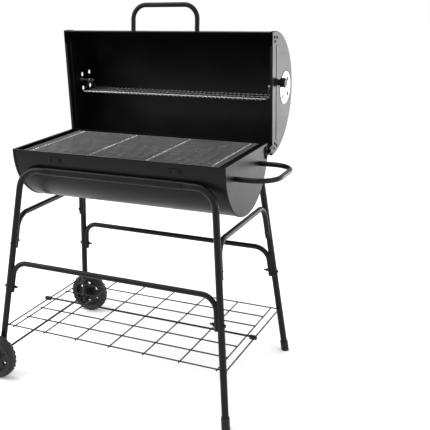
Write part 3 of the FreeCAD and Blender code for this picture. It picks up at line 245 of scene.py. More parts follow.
def hairline_marks() -> bpy.types.NodeTree:
    """Fine rubbing marks drawn out along X, with a few across them.

    Returns:
        Group with a Mask output.
    """
    recipe = ShaderRecipe("hairline_marks", {"Amount": 0.5, "Scale": 60.0}, ["Mask"])
    where = recipe.add("ShaderNodeTexCoord").outputs["Object"]
    masks = []
    for stretch in ((0.06, 1.0, 1.0), (1.0, 0.08, 1.0)):
        drawn = recipe.add("ShaderNodeMapping")
        feed(recipe.tree, drawn.inputs["Vector"], where)
        drawn.inputs["Scale"].default_value = stretch
        lines = recipe.noise(drawn.outputs[0], recipe.entry.outputs["Scale"], 8.0, 0.7)
        masks.append(recipe.band(lines.outputs["Fac"], 0.6, 0.78))
    both = recipe.sum("MAXIMUM", masks[0], recipe.sum("MULTIPLY", masks[1], 0.5))
    return recipe.give(Mask=recipe.sum("MULTIPLY", both, recipe.entry.outputs["Amount"], clamp=True))


@dataclass(frozen=True)
class Effects:
    """Shared shader groups, built once."""

    grain: bpy.types.NodeTree
    dust: bpy.types.NodeTree
    marks: bpy.types.NodeTree

    @classmethod
    def build(cls) -> "Effects":
        """Builds the three groups.

        Returns:
            The groups.
        """
        return cls(powder_grain(), settled_dust(), hairline_marks())


@dataclass(frozen=True)
class Finish:
    """One surface finish: colours, gloss, and how much of each shared effect it shows."""

    name: str
    colour: Colour
    light_colour: Colour
    roughness: float
    spread: float = 0.06
    metallic: float = 0.0
    specular: float = 0.5
    grain_scale: float = 700.0
    grain_depth: float = 1.0
    bump: float = 0.05
    bump_distance: float = 0.0004
    dust: float = 0.25
    dust_colour: Colour = (0.32, 0.31, 0.29)
    marks: float = 0.2
    marks_scale: float = 60.0
    rubbed_roughness: float = 0.25
    dusty_roughness: float = 0.5

    def material(self, effects: Effects) -> bpy.types.Material:
        """Builds the finish as a material.

        Args:
            effects: the shared groups.

        Returns:
            The material.
        """
        material = bpy.data.materials.new(self.name)
        material.use_nodes = True
        tree = material.node_tree
        shader = tree.nodes["Principled BSDF"]
        grain = add_node(tree, "ShaderNodeGroup", node_tree=effects.grain)
        grain.inputs["Scale"].default_value = self.grain_scale
        grain.inputs["Depth"].default_value = self.grain_depth
        dust = add_node(tree, "ShaderNodeGroup", node_tree=effects.dust)
        dust.inputs["Amount"].default_value = self.dust
        marks = add_node(tree, "ShaderNodeGroup", node_tree=effects.marks)
        marks.inputs["Amount"].default_value = self.marks
        marks.inputs["Scale"].default_value = self.marks_scale

        tone = add_node(tree, "ShaderNodeMix", data_type="RGBA")
        tone.inputs["A"].default_value = (*self.colour, 1)
        tone.inputs["B"].default_value = (*self.light_colour, 1)
        feed(tree, tone.inputs["Factor"], grain.outputs["Variation"])
        dusty = add_node(tree, "ShaderNodeMix", data_type="RGBA")
        feed(tree, dusty.inputs["Factor"], dust.outputs["Mask"])
        feed(tree, dusty.inputs["A"], tone.outputs["Result"])
        dusty.inputs["B"].default_value = (*self.dust_colour, 1)
        feed(tree, shader.inputs["Base Color"], dusty.outputs["Result"])

        gloss = add_node(tree, "ShaderNodeMath", operation="MULTIPLY_ADD")
        feed(tree, gloss.inputs[0], grain.outputs["Variation"])
        gloss.inputs[1].default_value = self.spread
        gloss.inputs[2].default_value = self.roughness
        rubbed = add_node(tree, "ShaderNodeMath", operation="MULTIPLY_ADD")
        feed(tree, rubbed.inputs[0], marks.outputs["Mask"])
        rubbed.inputs[1].default_value = self.rubbed_roughness
        feed(tree, rubbed.inputs[2], gloss.outputs[0])
        settled = add_node(tree, "ShaderNodeMath", operation="MULTIPLY_ADD", use_clamp=True)
        feed(tree, settled.inputs[0], dust.outputs["Mask"])
        settled.inputs[1].default_value = self.dusty_roughness
        feed(tree, settled.inputs[2], rubbed.outputs[0])
        feed(tree, shader.inputs["Roughness"], settled.outputs[0])

        bump = add_node(tree, "ShaderNodeBump")
        bump.inputs["Strength"].default_value = self.bump
        bump.inputs["Distance"].default_value = self.bump_distance
        feed(tree, bump.inputs["Height"], grain.outputs["Height"])
        feed(tree, shader.inputs["Normal"], bump.outputs["Normal"])
        shader.inputs["Metallic"].default_value = self.metallic
        shader.inputs["Specular IOR Level"].default_value = self.specular
        material.diffuse_color = (*self.colour, 1)
        return material


FINISHES: dict[Slot, Finish] = {
    Slot.ENAMEL: Finish("satin_enamel", (0.0028, 0.0028, 0.003), (0.0042, 0.0042, 0.0044), 0.33, spread=0.07,
                        specular=0.13, grain_scale=900.0, bump=0.12, dust=0.012, marks=0.3, marks_scale=38.0),
    Slot.TUBE: Finish("tube_powder_coat", (0.003, 0.003, 0.0029), (0.0045, 0.0045, 0.0043), 0.30, spread=0.08,
                      specular=0.15, grain_scale=1100.0, bump=0.12, dust=0.012, marks=0.35),
    Slot.WIRE: Finish("coated_wire", (0.004, 0.004, 0.004), (0.007, 0.007, 0.007), 0.42, specular=0.2,
                      grain_scale=1500.0, bump=0.15, dust=0.02),
    Slot.CHROME: Finish("bright_plate", (0.30, 0.30, 0.305), (0.25, 0.248, 0.245), 0.24, spread=0.10,
                        metallic=1.0, grain_scale=1600.0, bump=0.03, dust=0.12, dust_colour=(0.2, 0.19, 0.18),
                        marks=0.5, marks_scale=160.0),
    Slot.STEEL: Finish("plain_steel_wire", (0.24, 0.24, 0.245), (0.16, 0.157, 0.154), 0.38, spread=0.12,
                       metallic=1.0, grain_scale=1400.0, bump=0.1, dust=0.5, dust_colour=(0.1, 0.095, 0.09),
                       marks=0.5, marks_scale=140.0),
    Slot.FASTENER: Finish("black_plated_fastener", (0.003, 0.003, 0.0032), (0.005, 0.005, 0.0052), 0.30,
                          specular=0.1, grain_scale=1800.0, bump=0.08, dust=0.02, marks=0.4,
                          marks_scale=260.0),
    Slot.ZINC: Finish("zinc_hardware", (0.56, 0.56, 0.57), (0.44, 0.44, 0.45), 0.28, spread=0.12,
                      metallic=1.0, grain_scale=1800.0, bump=0.08, dust=0.1, marks=0.5, marks_scale=260.0),
    Slot.PLASTIC: Finish("moulded_plastic", (0.004, 0.004, 0.004), (0.007, 0.007, 0.007), 0.46, specular=0.2,
                         grain_scale=2200.0, bump=0.3, bump_distance=0.0003, dust=0.03, marks=0.3,
                         marks_scale=120.0),
    Slot.WHEEL: Finish("wheel_plastic", (0.004, 0.004, 0.004), (0.007, 0.007, 0.007), 0.42, specular=0.22,
                       grain_scale=1800.0, bump=0.25, bump_distance=0.0003, dust=0.03, marks=0.35,
                       marks_scale=110.0),
    Slot.RUBBER: Finish("tyre_rubber", (0.005, 0.005, 0.005), (0.009, 0.0088, 0.0085), 0.5, specular=0.28,
                        grain_scale=1300.0, bump=0.35, bump_distance=0.0004, dust=0.04, marks=0.4,
                        marks_scale=80.0),
}
# Chrome of the cooking grate painted much darker than the chrome slot: painted reflection of the dark lid
# interior in the wires, painted shade.
GRATE_PLATE_PAINTED_SHADE = Finish("grate_plate_painted_shade", (0.125, 0.125, 0.127), (0.085, 0.0845, 0.084), 0.24, spread=0.12,
                    metallic=1.0, grain_scale=1600.0, bump=0.05, dust=0.15, dust_colour=(0.1, 0.095, 0.09),
                    marks=0.5, marks_scale=160.0)
RACK_PLATE = Finish("rack_plate", (0.50, 0.50, 0.505), (0.40, 0.398, 0.395), 0.24, spread=0.10,
                    metallic=1.0, grain_scale=1600.0, bump=0.05, dust=0.1, dust_colour=(0.1, 0.095, 0.09),
                    marks=0.5, marks_scale=160.0)
# Hinge brackets in a copy of the black enamel with its reflection turned down so they read black under the
# end lamp: painted shade.
BRACKET_SHADED_COAT = Finish("bracket_enamel_painted_shade", (0.004, 0.004, 0.004), (0.006, 0.006, 0.006), 0.55, specular=0.03,
                      grain_scale=900.0, bump=0.12, dust=0.01)
# Welds of the grate and rack: real weld beads, coloured near white as painted highlights where the wires
# cross the bars.
WELD_HIGHLIGHT_PLATE = Finish("weld_painted_highlight", (0.95, 0.95, 0.95), (0.85, 0.85, 0.85), 0.45, metallic=1.0,
                    grain_scale=1600.0, dust=0.1, marks=0.3)
RECESS = Finish("recess_shadow", (0.004, 0.004, 0.004), (0.006, 0.006, 0.006), 0.6, specular=0.1, dust=0.0,
                grain_scale=2500.0, bump=0.1)


class Wardrobe:
    """All finishes as materials, ready to put on parts."""

    def __init__(self) -> None:
        """Builds each material once."""
        effects = Effects.build()
        self.materials = {slot: finish.material(effects) for slot, finish in FINISHES.items()}
        self.shaded_grate_plate = GRATE_PLATE_PAINTED_SHADE.material(effects)
        self.rack_plate = RACK_PLATE.material(effects)
        self.weld_highlight_plate = WELD_HIGHLIGHT_PLATE.material(effects)
        self.bracket_shaded_coat = BRACKET_SHADED_COAT.material(effects)
        self.recess = RECESS.material(effects)

    def dress(self, slot: Slot, *nodes: str) -> None:
        """Puts a finish on carried-over parts.

        Args:
            slot: the finish.
            nodes: names of the parts.
        """
        self.paint(self.materials[slot], *nodes)

    def paint(self, material: bpy.types.Material, *nodes: str) -> None:
        """Puts a material on carried-over parts.

        Args:
            material: the material.
            nodes: names of the parts.
        """
        for name in nodes:
            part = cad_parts[name]
            part.data.materials.clear()
            part.data.materials.append(material)
            LOG.info("dressed %s in %s", name, material.name)


# ---------------------------------------------------------------- geometry recipes

@dataclass(frozen=True)
class Place:
    """Where a repeated detail goes: its point and the way it faces."""

    point: Vector
    aim: Vector


class GeometryRecipe:
    """Geometry Nodes tree being written, with named inputs for its sizes."""

    def __init__(self, name: str, sizes: dict[str, float]) -> None:
        """Makes the tree.

        Args:
            name: name of the tree.
            sizes: input names with their defaults; a whole number makes a whole-number input.
        """
        self.name = name
        self.tree = bpy.data.node_groups.new(name, "GeometryNodeTree")
        face = self.tree.interface
        face.new_socket(name="Geometry", in_out="INPUT", socket_type="NodeSocketGeometry")
        face.new_socket(name="Geometry", in_out="OUTPUT", socket_type="NodeSocketGeometry")
        self.identifiers: dict[str, str] = {}
        for label, value in sizes.items():
            kind = "NodeSocketInt" if isinstance(value, int) else "NodeSocketFloat"
            socket = face.new_socket(name=label, in_out="INPUT", socket_type=kind)
            socket.default_value = value
            self.identifiers[label] = socket.identifier
        self.entry = self.tree.nodes.new("NodeGroupInput")
        self.exit = self.tree.nodes.new("NodeGroupOutput")

    def add(self, kind: str, settings: dict[str, object] | None = None, **inputs: object) -> bpy.types.Node:
        """Adds a node, sets its properties and feeds its inputs.

        Args:
            kind: Blender's node type.
            settings: properties of the node.
            inputs: values or sockets by input name, with _ for each space.

        Returns:
            The node.
        """
        node = add_node(self.tree, kind, **(settings or {}))
        for label, value in inputs.items():
            feed(self.tree, node.inputs[label.replace("_", " ")], value)
        return node

    def size(self, label: str) -> bpy.types.NodeSocket:
        """Finds the socket of a named input.

        Args:
            label: name of the input.

        Returns:
            The socket.
        """
        return self.entry.outputs[label]

    def math(self, kind: str, first: object, second: object) -> bpy.types.NodeSocket:
        """Adds a math node.

        Args:
            kind: Blender's operation.
            first: a number or a socket.
            second: a number or a socket.

        Returns:
            Its output.
        """
        node = self.add("ShaderNodeMath", {"operation": kind})
        feed(self.tree, node.inputs[0], first)
        feed(self.tree, node.inputs[1], second)
        return node.outputs[0]

    def aim(self) -> bpy.types.NodeSocket:
        """Reads the aim stored on each point.

        Returns:
            The aim.
        """
        node = self.add("GeometryNodeInputNamedAttribute", {"data_type": "FLOAT_VECTOR"}, Name="aim")
        return node.outputs["Attribute"]

    def facing(self, pivot: str = "AUTO") -> bpy.types.NodeSocket:
        """Turns Z to the aim stored on each point.

        Args:
            pivot: axis to turn about, or AUTO.

        Returns:
            The rotation at each point.
        """
        turn = self.add("FunctionNodeAlignRotationToVector", {"axis": "Z", "pivot_axis": pivot},
                        Vector=self.aim())
        return turn.outputs["Rotation"]

    def spread(self, shape: bpy.types.NodeSocket, turn: bpy.types.NodeSocket) -> bpy.types.NodeSocket:
        """Puts a shape on every incoming point.

        Args:
            shape: geometry to repeat.
            turn: rotation at each point.

        Returns:
            The instances.
        """
        node = self.add("GeometryNodeInstanceOnPoints", Points=self.entry.outputs["Geometry"], Instance=shape,
                        Rotation=turn)
        return node.outputs["Instances"]

    def close(self, shape: bpy.types.NodeSocket, material: bpy.types.Material) -> "GeometryRecipe":
        """Ends the tree with Realize Instances and Set Material.

        Args:
            shape: geometry to give out.
            material: its finish.

        Returns:
            This recipe.
        """
        real = self.add("GeometryNodeRealizeInstances", Geometry=shape)
        painted = self.add("GeometryNodeSetMaterial", Geometry=real.outputs[0], Material=material)
        self.tree.links.new(painted.outputs[0], self.exit.inputs[0])
        return self

    def make(self, name: str, places: list[Place], sizes: dict[str, float] | None = None) -> bpy.types.Object:
        """Runs the tree on a set of places and keeps the result as a plain mesh.

        Args:
            name: name of the new piece.
            places: points with their aims.
            sizes: input values by name.

        Returns:
            The new piece at the origin.
        """
        seed_mesh = bpy.data.meshes.new(name + "_places")
        seed_mesh.from_pydata([place.point for place in places], [], [])
        aims = seed_mesh.attributes.new("aim", "FLOAT_VECTOR", "POINT")
        for item, place in zip(aims.data, places):
            item.vector = place.aim
        carrier = bpy.data.objects.new(name + "_carrier", seed_mesh)
        bpy.context.scene.collection.objects.link(carrier)
        modifier = carrier.modifiers.new(self.name, "NODES")
        modifier.node_group = self.tree
        for label, value in (sizes or {}).items():
            modifier[self.identifiers[label]] = value
        view = bpy.context.evaluated_depsgraph_get()
        mesh = bpy.data.meshes.new_from_object(carrier.evaluated_get(view), depsgraph=view)
        carrier.modifiers.remove(modifier)
        bpy.data.objects.remove(carrier)
        mesh.name = name
        piece = bpy.data.objects.new(name, mesh)
        bpy.context.scene.collection.objects.link(piece)
        return piece


def attach(piece: bpy.types.Object, body: Body) -> None:
    """Rides a piece on its body.

    Args:
        piece: the new piece.
        body: body that carries it.
    """
    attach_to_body(piece, body.value)
    LOG.info("made %s: %d faces on %s", piece.name, len(piece.data.polygons), body.value)


def thread_recipe(material: bpy.types.Material) -> GeometryRecipe:
    """Helical thread on a bolt's free end, wound from each place along its aim.

    Args:
        material: finish of the detail.

    Returns:
        The closed recipe.
    """
    recipe = GeometryRecipe("bolt_thread", {"Turns": 7.0, "Pitch": 0.001, "Radius": 0.003, "Ridge": 0.00028})
    helix = recipe.add("GeometryNodeCurveSpiral", Resolution=12, Rotations=recipe.size("Turns"),
                       Start_Radius=recipe.size("Radius"), End_Radius=recipe.size("Radius"),
                       Height=recipe.math("MULTIPLY", recipe.size("Turns"), recipe.size("Pitch")))
    section = recipe.add("GeometryNodeCurvePrimitiveCircle", Resolution=5)
    feed(recipe.tree, section.inputs["Radius"], recipe.size("Ridge"))
    ridge = recipe.add("GeometryNodeCurveToMesh", Curve=helix.outputs["Curve"],
                       Profile_Curve=section.outputs["Curve"], Fill_Caps=True)
    smooth = recipe.add("GeometryNodeSetShadeSmooth", Geometry=ridge.outputs["Mesh"])
    return recipe.close(recipe.spread(smooth.outputs[0], recipe.facing()), material)


def cross_recess_recipe(material: bpy.types.Material) -> GeometryRecipe:
    """Cross slot of a screw head, each turned by its own chance angle.

    Args:
        material: finish of the detail.

    Returns:
        The closed recipe.
    """
    recipe = GeometryRecipe("cross_recess", {"Span": 0.0042, "Slot": 0.0009, "Height": 0.0005, "Seed": 7})
    bars = []
    for turn in (0.0, math.pi / 2):
        size = recipe.add("ShaderNodeCombineXYZ", X=recipe.size("Span"), Y=recipe.size("Slot"),
                          Z=recipe.size("Height"))
        bar = recipe.add("GeometryNodeMeshCube", Size=size.outputs[0])
        turned = recipe.add("GeometryNodeTransform", Geometry=bar.outputs["Mesh"], Rotation=(0.0, 0.0, turn))
        bars.append(turned.outputs[0])
    cross = recipe.add("GeometryNodeJoinGeometry")
    for bar in bars:
        recipe.tree.links.new(bar, cross.inputs[0])
    chance = recipe.add("FunctionNodeRandomValue", {"data_type": "FLOAT"})
    quarter_turn = math.pi / 2
    chance.inputs[3].default_value = quarter_turn
    feed(recipe.tree, chance.inputs["Seed"], recipe.size("Seed"))
    spin = recipe.add("FunctionNodeAxisAngleToRotation", Axis=(0.0, 0.0, 1.0), Angle=chance.outputs[1])
    turn = recipe.add("FunctionNodeRotateRotation", {"rotation_space": "LOCAL"}, Rotation=recipe.facing(),
                      Rotate_By=spin.outputs[0])
    return recipe.close(recipe.spread(cross.outputs[0], turn.outputs[0]), material)


def weld_recipe(material: bpy.types.Material) -> GeometryRecipe:
    """Small flattened weld where one wire crosses another, each a little different.

    Args:
        material: finish of the detail.

    Returns:
        The closed recipe.
    """
    recipe = GeometryRecipe("spot_weld", {"Radius": 0.0028, "Seed": 3})
    ball = recipe.add("GeometryNodeMeshIcoSphere", Subdivisions=2)
    feed(recipe.tree, ball.inputs["Radius"], recipe.size("Radius"))
    flat = recipe.add("GeometryNodeTransform", Geometry=ball.outputs["Mesh"], Scale=(1.2, 0.7, 0.7))
    smooth = recipe.add("GeometryNodeSetShadeSmooth", Geometry=flat.outputs[0])
    chance = recipe.add("FunctionNodeRandomValue", {"data_type": "FLOAT"})
    smallest, largest = chance.inputs[2], chance.inputs[3]
    smallest.default_value = 0.85
    largest.default_value = 1.12
    feed(recipe.tree, chance.inputs["Seed"], recipe.size("Seed"))
    spots = recipe.add("GeometryNodeInstanceOnPoints", Points=recipe.entry.outputs["Geometry"],
                       Instance=smooth.outputs[0], Rotation=recipe.facing(), Scale=chance.outputs[1])
    return recipe.close(spots.outputs["Instances"], material)


def lug_recipe(material: bpy.types.Material) -> GeometryRecipe:
    """Raised block such as a tread lug, set along its aim.

    Args:
        material: finish of the detail.

    Returns:
        The closed recipe.
    """
    recipe = GeometryRecipe("raised_lug", {"Length": 0.008, "Width": 0.008, "Height": 0.0024, "Skew": 0.5})
    size = recipe.add("ShaderNodeCombineXYZ", X=recipe.size("Width"), Y=recipe.size("Length"),
                      Z=recipe.size("Height"))
    block = recipe.add("GeometryNodeMeshCube", Size=size.outputs[0])
    spin = recipe.add("FunctionNodeAxisAngleToRotation", Axis=(0.0, 0.0, 1.0), Angle=recipe.size("Skew"))
    first = recipe.add("FunctionNodeAlignRotationToVector", {"axis": "Y"}, Vector=(0.0, 1.0, 0.0))
    second = recipe.add("FunctionNodeAlignRotationToVector", {"axis": "Z", "pivot_axis": "AUTO"},
                        Rotation=first.outputs[0], Vector=recipe.aim())
    turn = recipe.add("FunctionNodeRotateRotation", {"rotation_space": "LOCAL"}, Rotation=second.outputs[0],
                      Rotate_By=spin.outputs[0])
    return recipe.close(recipe.spread(block.outputs["Mesh"], turn.outputs[0]), material)


def bead_recipe(material: bpy.types.Material) -> GeometryRecipe:
    """Thin bead laid along a half round in the YZ plane about each place, opening along its aim.

    Args:
        material: finish of the detail.

    Returns:
        The closed recipe.
    """
    recipe = GeometryRecipe("edge_bead", {"Radius": 0.194, "Bead": 0.0008})
    half = recipe.add("GeometryNodeCurveArc", {"mode": "RADIUS"}, Resolution=72, Radius=recipe.size("Radius"),
                      Start_Angle=0.0, Sweep_Angle=math.pi)
    stand = recipe.add("GeometryNodeTransform", Geometry=half.outputs["Curve"],
                       Rotation=(math.pi / 2, 0.0, math.pi / 2))
    section = recipe.add("GeometryNodeCurvePrimitiveCircle", Resolution=6)
    feed(recipe.tree, section.inputs["Radius"], recipe.size("Bead"))
    bead = recipe.add("GeometryNodeCurveToMesh", Curve=stand.outputs[0],
                      Profile_Curve=section.outputs["Curve"], Fill_Caps=True)
    smooth = recipe.add("GeometryNodeSetShadeSmooth", Geometry=bead.outputs["Mesh"])
    return recipe.close(recipe.spread(smooth.outputs[0], recipe.facing("X")), material)


# ---------------------------------------------------------------- shared places

@dataclass(frozen=True)
class Layout:
    """The grill's main lines, in metres from the middle of the bowl at floor height."""

    middle: Vector
    rim_z: float = 0.791
    bowl_half: float = 0.380
    lid_half: float = 0.391
    bowl_axis_z: float = 0.788
    shell_radius: float = 0.1923
    hinge_y: float = 0.182
    hinge_z: float = 0.765
    opening: float = math.radians(86.6)

    @classmethod
    def measured(cls) -> "Layout":
        """Takes the bowl's middle from its packed shell.

        Returns:
            The layout about that middle.
        """
        low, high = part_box("bowl_shell")
        return cls(Vector(((low.x + high.x) / 2, (low.y + high.y) / 2, 0.0)))

    def at(self, x: float, y: float, z: float) -> Vector:
        """Finds a point in the grill's frame.

        Args:
            x: distance right of the bowl's middle.
            y: distance behind it.
            z: height above the floor.

        Returns:
            The point.
        """
        return self.middle + Vector((x, y, z))

    def open_lid(self) -> Matrix:
        """Finds the turn from the closed lid to the open one.

        Returns:
            The turn about the hinge line.
        """
        hinge = Matrix.Translation(self.at(0, self.hinge_y, self.hinge_z))
        return hinge @ Matrix.Rotation(-self.opening, 4, "X") @ hinge.inverted()

    def lifted(self, place: Place) -> Place:
        """Carries a place on the closed lid to the open one.

        Args:
            place: where it is with the lid closed.

        Returns:
            Where it is with the lid open.
        """
        turn = self.open_lid()
        return Place(turn @ place.point, (turn.to_3x3() @ place.aim).normalized())


@dataclass
class Workshop:
    """What every sub-assembly needs: finishes, main lines and detail recipes."""

    wardrobe: Wardrobe
    layout: Layout
    threads: GeometryRecipe = field(init=False)
    dark_threads: GeometryRecipe = field(init=False)
    crosses: GeometryRecipe = field(init=False)

    def __post_init__(self) -> None:
        """Builds the recipes that several sub-assemblies share."""
        self.threads = thread_recipe(self.wardrobe.materials[Slot.ZINC])
        self.dark_threads = thread_recipe(self.wardrobe.materials[Slot.FASTENER])
        self.crosses = cross_recess_recipe(self.wardrobe.recess)


# ---------------------------------------------------------------- sub-assemblies

@dataclass
class FireBowl:
    """Half-barrel bowl, its end caps, grate brackets, hinge brackets and side handle."""

    shop: Workshop
    flange: float = 0.009
    cap_radius: float = 0.194
    bead: float = 0.0007
    plate_x: float = 0.214
    plate_step: float = 0.014
    plate_drop: float = 0.023
    screw_head: float = 0.1946
    head_height: float = 0.00225
    bracket_sheet: float = 0.0033
    hinge_screws: tuple[tuple[float, float], ...] = ((0.163, 0.774), (0.167, 0.750))

    def dress(self) -> None:
        """Puts finishes on the bowl's parts."""
        wear = self.shop.wardrobe
        wear.dress(Slot.ENAMEL, "bowl_shell", "bowl_end_left", "bowl_end_right", "grate_brackets",
                   "bracket_outside_plates")
        # hinge brackets get the shaded copy of the enamel, painted shade
        wear.paint(wear.bracket_shaded_coat, "hinge_bracket_left", "hinge_bracket_right")
        wear.dress(Slot.FASTENER, "grate_bracket_screws", "grate_bracket_nuts", "bowl_frame_bolts",
                   "hinge_bracket_screws", "hinge_pin_left", "hinge_pin_right", "side_handle_bolts")
        wear.dress(Slot.ZINC, "bowl_frame_nuts")
        wear.dress(Slot.TUBE, "side_handle")

    def seams(self) -> None:
        """Lays the seam bead where each end cap's edge meets the shell."""
        layout = self.shop.layout
        seam_x = layout.bowl_half - self.flange
        downward = Vector((0, 0, -1))
        places = [Place(layout.at(side * seam_x, 0, layout.bowl_axis_z), downward) for side in (-1, 1)]
        recipe = bead_recipe(self.shop.wardrobe.materials[Slot.ENAMEL])
        sizes = {"Radius": self.cap_radius - self.bead, "Bead": self.bead}
        attach(recipe.make("bowl_cap_seams", places, sizes), Body.STAND)

    def screw_faces(self) -> None:
        """Cuts cross slots in the bracket and hinge screws."""
        layout = self.shop.layout
        dip = math.asin(self.plate_drop / layout.shell_radius)
        places = []
        for side in (-1, 1):
            outward = Vector((0, side * math.cos(dip), -math.sin(dip)))
            for end in (-1, 1):
                for step in (-self.plate_step, self.plate_step):
                    start = layout.at(end * self.plate_x + step, 0, layout.bowl_axis_z)
                    places.append(Place(start + outward * (self.screw_head + self.head_height), outward))
        for side in (-1, 1):
            for y, z in self.hinge_screws:
                head_x = side * (layout.bowl_half + self.bracket_sheet + self.head_height)
                places.append(Place(layout.at(head_x, y, z), Vector((side, 0, 0))))
        attach(self.shop.crosses.make("bowl_screw_slots", places), Body.STAND)

    def build(self) -> None:
        """Dresses the bowl and adds its details."""
        self.dress()
        self.seams()
        self.screw_faces()


@dataclass
class Lid:
    """Barrel lid with its end caps, handle, hinge arms and screws."""

    shop: Workshop
    flange: float = 0.009
    cap_radius: float = 0.203
    bead: float = 0.0007
    head_height: float = 0.00225
    seat_gap: float = 0.0001
    cap_screws: tuple[tuple[float, float], ...] = ((0.168, 0.811), (0.183, 0.804), (0.179, 0.829),
                                                  (-0.179, 0.829), (-0.168, 0.811), (-0.183, 0.804))

    def dress(self) -> None:
        """Puts finishes on the lid's parts."""
        wear = self.shop.wardrobe
        wear.dress(Slot.ENAMEL, "lid_shell", "lid_end_left", "lid_end_right", "hinge_arm_left",
                   "hinge_arm_right")
        wear.dress(Slot.TUBE, "lid_handle")
        wear.dress(Slot.FASTENER, "lid_handle_screws", "hinge_arm_screws", "lid_cap_screws")

    def seams(self) -> None:
        """Lays the seam bead where each end cap's edge meets the lid's shell."""
        layout = self.shop.layout
        seam_x = layout.lid_half - self.flange
        upward = Vector((0, 0, 1))
        places = [layout.lifted(Place(layout.at(side * seam_x, 0, layout.rim_z), upward)) for side in (-1, 1)]
        recipe = bead_recipe(self.shop.wardrobe.materials[Slot.ENAMEL])
        sizes = {"Radius": self.cap_radius - self.bead, "Bead": self.bead}
        attach(recipe.make("lid_cap_seams", places, sizes), Body.LID)

    def screw_faces(self) -> None:
        """Cuts cross slots in the end-cap screws."""
        layout = self.shop.layout
        places = []
        for side in (-1, 1):
            for y, z in self.cap_screws:
                head_x = side * (layout.lid_half + self.seat_gap + self.head_height)
                places.append(layout.lifted(Place(layout.at(head_x, y, z), Vector((side, 0, 0)))))
        attach(self.shop.crosses.make("lid_screw_slots", places), Body.LID)

    def build(self) -> None:
        """Dresses the lid and adds its details."""
        self.dress()
        self.seams()
        self.screw_faces()


@dataclass
class Vents:
    """Vent discs on both lid ends, with ribbed knobs and sprung bolts."""

    shop: Workshop
    ribs: int = 24
    knob_radius: float = 0.0145
    knob_reach: float = 0.080
    vent_up: float = 0.124
    knob_angle: float = math.radians(247)
    grip_from: float = 0.0075
    grip_length: float = 0.019
    rib_share: float = 0.68
    rib_size: float = 0.0011
    rib_stand: float = 0.0001
    bolt_end: float = 0.0289
    bolt_turns: float = 5.0

    def dress(self) -> None:
        """Puts finishes on the discs, knobs and bolts."""
        wear = self.shop.wardrobe
        wear.dress(Slot.CHROME, "vent_disc_left", "vent_disc_right")
        wear.dress(Slot.PLASTIC, "vent_knob_left", "vent_knob_right")
        wear.dress(Slot.ZINC, "vent_bolts", "vent_nuts", "vent_springs", "rack_pivot_pins")

    def knob_ribs(self, side: int, body: Body, name: str) -> None:
        """Sets grip ribs round one knob.

        Args:
            side: -1 for the left end, 1 for the right.
            body: body of that vent.
            name: name of the new piece.
        """
        layout = self.shop.layout
        y = self.knob_reach * math.cos(self.knob_angle)
        z = layout.rim_z + self.vent_up + self.knob_reach * math.sin(self.knob_angle)
        x = side * (layout.lid_half + self.grip_from + self.grip_length / 2)
        places = []
        for number in range(self.ribs):
            angle = 2 * math.pi * number / self.ribs
            aim = Vector((0, math.cos(angle), math.sin(angle)))
            centre = layout.at(x, y, z) + aim * (self.knob_radius + self.rib_stand)
            places.append(layout.lifted(Place(centre, aim)))
        recipe = GeometryRecipe("knob_rib_" + name, {"Length": self.grip_length * self.rib_share,
                                                      "Rib": self.rib_size})
        size = recipe.add("ShaderNodeCombineXYZ", X=recipe.size("Length"), Y=recipe.size("Rib"),
                          Z=recipe.size("Rib"))
        rib = recipe.add("GeometryNodeMeshCube", Size=size.outputs[0])
        recipe.close(recipe.spread(rib.outputs["Mesh"], recipe.facing("X")),
                     self.shop.wardrobe.materials[Slot.PLASTIC])
        attach(recipe.make(name, places), body)

    def build(self) -> None:
        """Dresses the vents and adds ribs and threads."""
        self.dress()
        self.knob_ribs(-1, Body.VENT_LEFT, "vent_ribs_left")
        self.knob_ribs(1, Body.VENT_RIGHT, "vent_ribs_right")
        layout = self.shop.layout
        end_x = layout.lid_half - self.bolt_end
        bolt_z = layout.rim_z + self.vent_up
        places = [layout.lifted(Place(layout.at(side * end_x, 0, bolt_z), Vector((-side, 0, 0))))
                  for side in (-1, 1)]
        attach(self.shop.threads.make("vent_bolt_threads", places, {"Turns": self.bolt_turns}), Body.LID)


@dataclass
class Grates:
    """Cooking grate, charcoal grate and warming rack, with the welds of their wires."""

    shop: Workshop
    pitch: float = 0.015
    wires: int = 12
    wire_z: float = 0.7840
    bars: tuple[float, ...] = (-0.323, -0.1044, 0.1044, 0.323)
    weld_radius: float = 0.0031
    rack_pitch: float = 0.016
    rack_count: int = 21
    rack_front: float = 0.237
    rack_depth: float = 0.094
    rack_z: float = 0.9282
    rack_weld_radius: float = 0.0019

    def dress(self) -> None:
        """Puts finishes on the wire parts."""
        wear = self.shop.wardrobe
        # the cooking grate gets the darkened chrome copy, a painted reflection of the dark lid interior
        wear.paint(wear.shaded_grate_plate, "cooking_grate")
        wear.paint(wear.rack_plate, "warming_rack")
        wear.dress(Slot.STEEL, "charcoal_grate")

    def build(self) -> None:
        """Dresses the grates and adds their welds, painted near white as highlights along the bars."""
        self.dress()
        layout = self.shop.layout
        upward = Vector((0, 0, 1))
        # weld beads painted near white: painted highlights on the grate and rack bars
        recipe = weld_recipe(self.shop.wardrobe.weld_highlight_plate)
        spots = [Place(layout.at(x, number * self.pitch, self.wire_z), upward)
                 for x in self.bars for number in range(-self.wires, self.wires + 1)]
        attach(recipe.make("grate_welds", spots, {"Radius": self.weld_radius}), Body.GRATE)
        rods = [self.rack_front + step * self.rack_depth / 2 for step in (0, 1, 2)]
        spots = [Place(layout.at(number * self.rack_pitch, y, self.rack_z), upward)
                 for number in range(-self.rack_count, self.rack_count + 1) for y in rods]
        attach(recipe.make("rack_welds", spots, {"Radius": self.rack_weld_radius}), Body.RACK)


